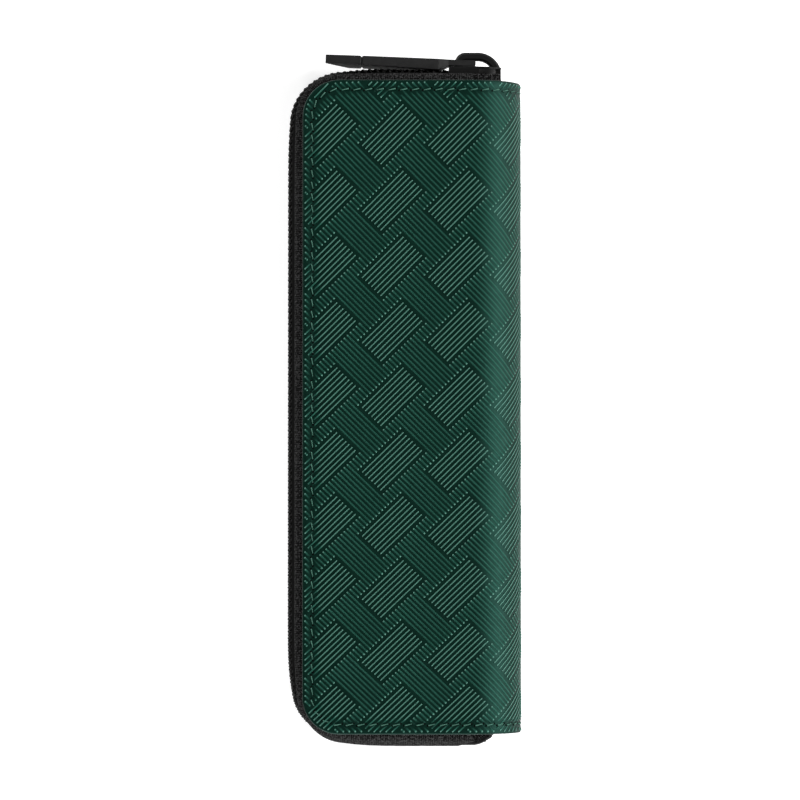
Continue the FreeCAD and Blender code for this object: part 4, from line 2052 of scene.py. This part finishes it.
@dataclass
class Fittings:
    """Metal of the zip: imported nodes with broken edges, and the slider's shoulders."""

    finishes: Finishes
    edge_break: float = 0.15
    edge_steps: int = 2
    edge_angle: float = 40.0
    flange: float = 0.7
    flange_gap: float = 0.65
    plate: float = 0.7
    tail_width: float = 6.6
    shoulder_width: float = 8.6
    shoulder: float = 3.0
    flange_end: float = 16.5
    cheek_end: float = 20.6
    cheek_sink: float = 0.7
    sharp: float = 25.0
    post_width: float = 1.2
    post_end: float = 21.3

    def build(self) -> None:
        """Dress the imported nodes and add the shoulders."""
        metal = ("slider_body", "slider_bail", "back_top_stop", "front_top_stop", "zip_bottom_stop")
        for name in metal:
            self.dress(name, self.finishes.metal)
        for name in ("zip_pull", "pull_tip"):
            self.dress(name, self.finishes.pull)
        self.shoulders()

    def dress(self, name: str, material: Material) -> None:
        """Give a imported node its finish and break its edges.

        Args:
            name: Name of the node.
            material: Its finish.
        """
        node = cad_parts[name]
        node.data.materials.clear()
        node.data.materials.append(material)
        edges = node.modifiers.new("edge_break", "BEVEL")
        edges.width = self.edge_break * MM
        edges.segments = self.edge_steps
        edges.limit_method = "ANGLE"
        edges.angle_limit = math.radians(self.edge_angle)
        LOG.info("%s: packed node", name)

    def half_width(self, x: float, low: Vector, high: Vector) -> float:
        """Half of the slider's width at a place along it.

        Args:
            x: Place across the case.
            low: Lowest corner of the slider's body.
            high: Its highest corner.

        Returns:
            The half width.
        """
        shoulder = high.x - self.shoulder
        if x <= shoulder:
            share = (x - low.x) / (shoulder - low.x)
            return (self.tail_width + (self.shoulder_width - self.tail_width) * share) / 2
        share = (x - shoulder) / self.shoulder
        return (self.shoulder_width + (self.tail_width - self.shoulder_width) * share) / 2

    def cheek(self, way: int) -> BMesh:
        """Flange that runs on round one of the slider's shoulders.

        Args:
            way: Side of the slider, -1 or 1.

        Returns:
            The flange.
        """
        low, high = box_mm("slider_body")
        middle = (low.z + high.z) / 2
        top = high.y - self.flange_gap
        foot = box_mm("back_zip_tape")[1].y - self.cheek_sink
        run = self.cheek_end - self.flange_end
        bm = bmesh.new()
        bmesh.ops.create_cube(bm, size=2.0)
        divide(bm, 2 * (high.x - self.shoulder - self.flange_end) / run - 1)
        for vert in bm.verts:
            x = self.flange_end + run * (vert.co.x + 1) / 2
            y = top if vert.co.y > 0 else foot
            wide = self.half_width(x, low, high) - self.flange * (1 - vert.co.z) / 2
            vert.co = Vector((x, y, middle + way * wide))
        round_edges(bm, bent_edges(bm, self.edge_angle), self.edge_break, self.edge_steps)
        return bm

    def nose(self) -> BMesh:
        """Nose of the slider's post.

        Returns:
            The nose.
        """
        low, high = box_mm("slider_body")
        top, foot = high.y - self.flange_gap, low.y + self.plate
        size = Vector((high.x - self.post_end, top - foot, self.post_width))
        centre = Vector(((high.x + self.post_end) / 2, (top + foot) / 2, (low.z + high.z) / 2))
        bm = bmesh.new()
        bmesh.ops.create_cube(bm, size=1.0)
        bmesh.ops.scale(bm, vec=size, verts=bm.verts)
        bmesh.ops.translate(bm, vec=centre, verts=bm.verts)
        return bm

    def shoulders(self) -> None:
        """Flanges that run on round the slider's shoulders, and the nose of its post."""
        bm = bmesh.new()
        for part in (self.cheek(-1), self.cheek(1), self.nose()):
            add_copy(bm, part)
        piece = finished(bm, "slider_shoulders", [self.finishes.metal], self.sharp)
        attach(piece, "slider")


@dataclass(frozen=True)
class Lamp:
    """Square soft lamp."""

    name: str
    place: tuple[float, float, float]
    size: float
    power: float

    def build(self, aim: Vector) -> None:
        """Make the lamp.

        Args:
            aim: Point that it faces, in millimetres.
        """
        light = bpy.data.lights.new(self.name, "AREA")
        light.shape = "SQUARE"
        light.size = self.size * MM
        light.energy = self.power
        lamp = bpy.data.objects.new(self.name, light)
        place = Vector(self.place)
        lamp.location = place * MM
        lamp.rotation_euler = (aim - place).to_track_quat("-Z", "Y").to_euler()
        bpy.context.scene.collection.objects.link(lamp)


@dataclass
class Studio:
    """Pale floor, soft lamps and a camera over the front cover, as in the photograph."""

    sizes: CaseSizes
    view_x: float = -2.98
    view_y: float = 1.52
    view_width: float = 195.4
    view_distance: float = 975.0
    view_tilt: float = 1.75
    sensor: float = 36.0
    floor_half: float = 3000.0
    floor_drop: float = 0.05
    floor_cloud: float = 90.0
    floor_dark: Colour = Colour(228, 228, 228)
    floor_light: Colour = Colour(232, 232, 232)
    floor_roughness: float = 0.9
    floor_glow: float = 0.52
    world_light: float = 0.05
    key: Lamp = Lamp("key", (-1700.0, 1700.0, 1000.0), 600.0, 61.0)
    counter: Lamp = Lamp("counter", (-200.0, -2050.0, 350.0), 600.0, 60.0)
    spine_fill: Lamp = Lamp("spine_fill", (1360.0, 0.0, 780.0), 900.0, 45.0)

    def build(self) -> None:
        """Make the floor, the world, the lamps and the camera."""
        self.floor()
        self.world()
        for lamp in (self.key, self.counter, self.spine_fill):
            lamp.build(Vector((0, 0, self.sizes.middle)))
        self.camera()

    def floor(self) -> None:
        """Pale floor under the case, as white as the background where nothing shades it."""
        bm = rectangle(self.floor_half, self.floor_half)
        bmesh.ops.translate(bm, vec=Vector((0, 0, -self.floor_drop)), verts=bm.verts)
        tree = NodeTree("floor_white")
        rays = tree.add("LightPath")
        seen = rays.outputs["Is Camera Ray"]
        for kind in ("Is Glossy Ray", "Is Transmission Ray"):
            seen = tree.joined("MAXIMUM", seen, rays.outputs[kind])
        tree.dress(
            Base_Color=tree.ramp(tree.noise(self.floor_cloud), self.floor_dark, self.floor_light),
            Roughness=self.floor_roughness,
            Emission_Color=(1, 1, 1, 1),
            Emission_Strength=tree.span(seen, 0.0, self.floor_glow),
        )
        finished(bm, "floor", [tree.material])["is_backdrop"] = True

    def world(self) -> None:
        """Weak even light from all round, which the camera sees as white."""
        world = bpy.data.worlds.new("studio")
        world.use_nodes = True
        nodes, links = world.node_tree.nodes, world.node_tree.links
        background = nodes["Background"]
        background.inputs["Color"].default_value = (1, 1, 1, 1)
        rays = nodes.new("ShaderNodeLightPath")
        level = nodes.new("ShaderNodeMapRange")
        level.inputs["To Min"].default_value = self.world_light
        level.inputs["To Max"].default_value = 1.0
        links.new(rays.outputs["Is Camera Ray"], level.inputs["Value"])
        links.new(level.outputs["Result"], background.inputs["Strength"])
        bpy.context.scene.world = world

    def camera(self) -> None:
        """Long lens, almost straight above the front cover."""
        data = bpy.data.cameras.new("camera")
        data.sensor_width = self.sensor
        data.lens = self.sensor * self.view_distance / self.view_width
        camera = bpy.data.objects.new("camera", data)
        aim = Vector((self.view_x, self.view_y, self.sizes.depth))
        tilt = math.radians(self.view_tilt)
        back = Vector((0, -math.sin(tilt), math.cos(tilt)))
        camera.location = (aim + back * self.view_distance) * MM
        camera.rotation_euler = (tilt, 0, 0)
        bpy.context.scene.collection.objects.link(camera)
        bpy.context.scene.camera = camera


def save_sizes(packed: tuple[Vector, Vector]) -> None:
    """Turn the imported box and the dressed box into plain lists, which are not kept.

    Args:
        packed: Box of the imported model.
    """
    boxes = {"cad": packed, "visual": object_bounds()}
    {key: [list(corner) for corner in box] for key, box in boxes.items()}


def main() -> None:
    """Build the case and the studio."""
    logging.basicConfig(level=logging.INFO, format="%(name)s %(message)s")
    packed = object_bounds()
    bpy.context.scene.view_settings.view_transform = "Standard"
    sizes = CaseSizes.from_frame()
    finishes = Finishes.make()
    Cover(sizes, finishes).build()
    for side in Side:
        ZipHalf(side, sizes, finishes).build()
    PenLoops(finishes).build()
    Fittings(finishes).build()
    Studio(sizes).build()
    save_sizes(packed)


if __name__ == "__main__":
    main()
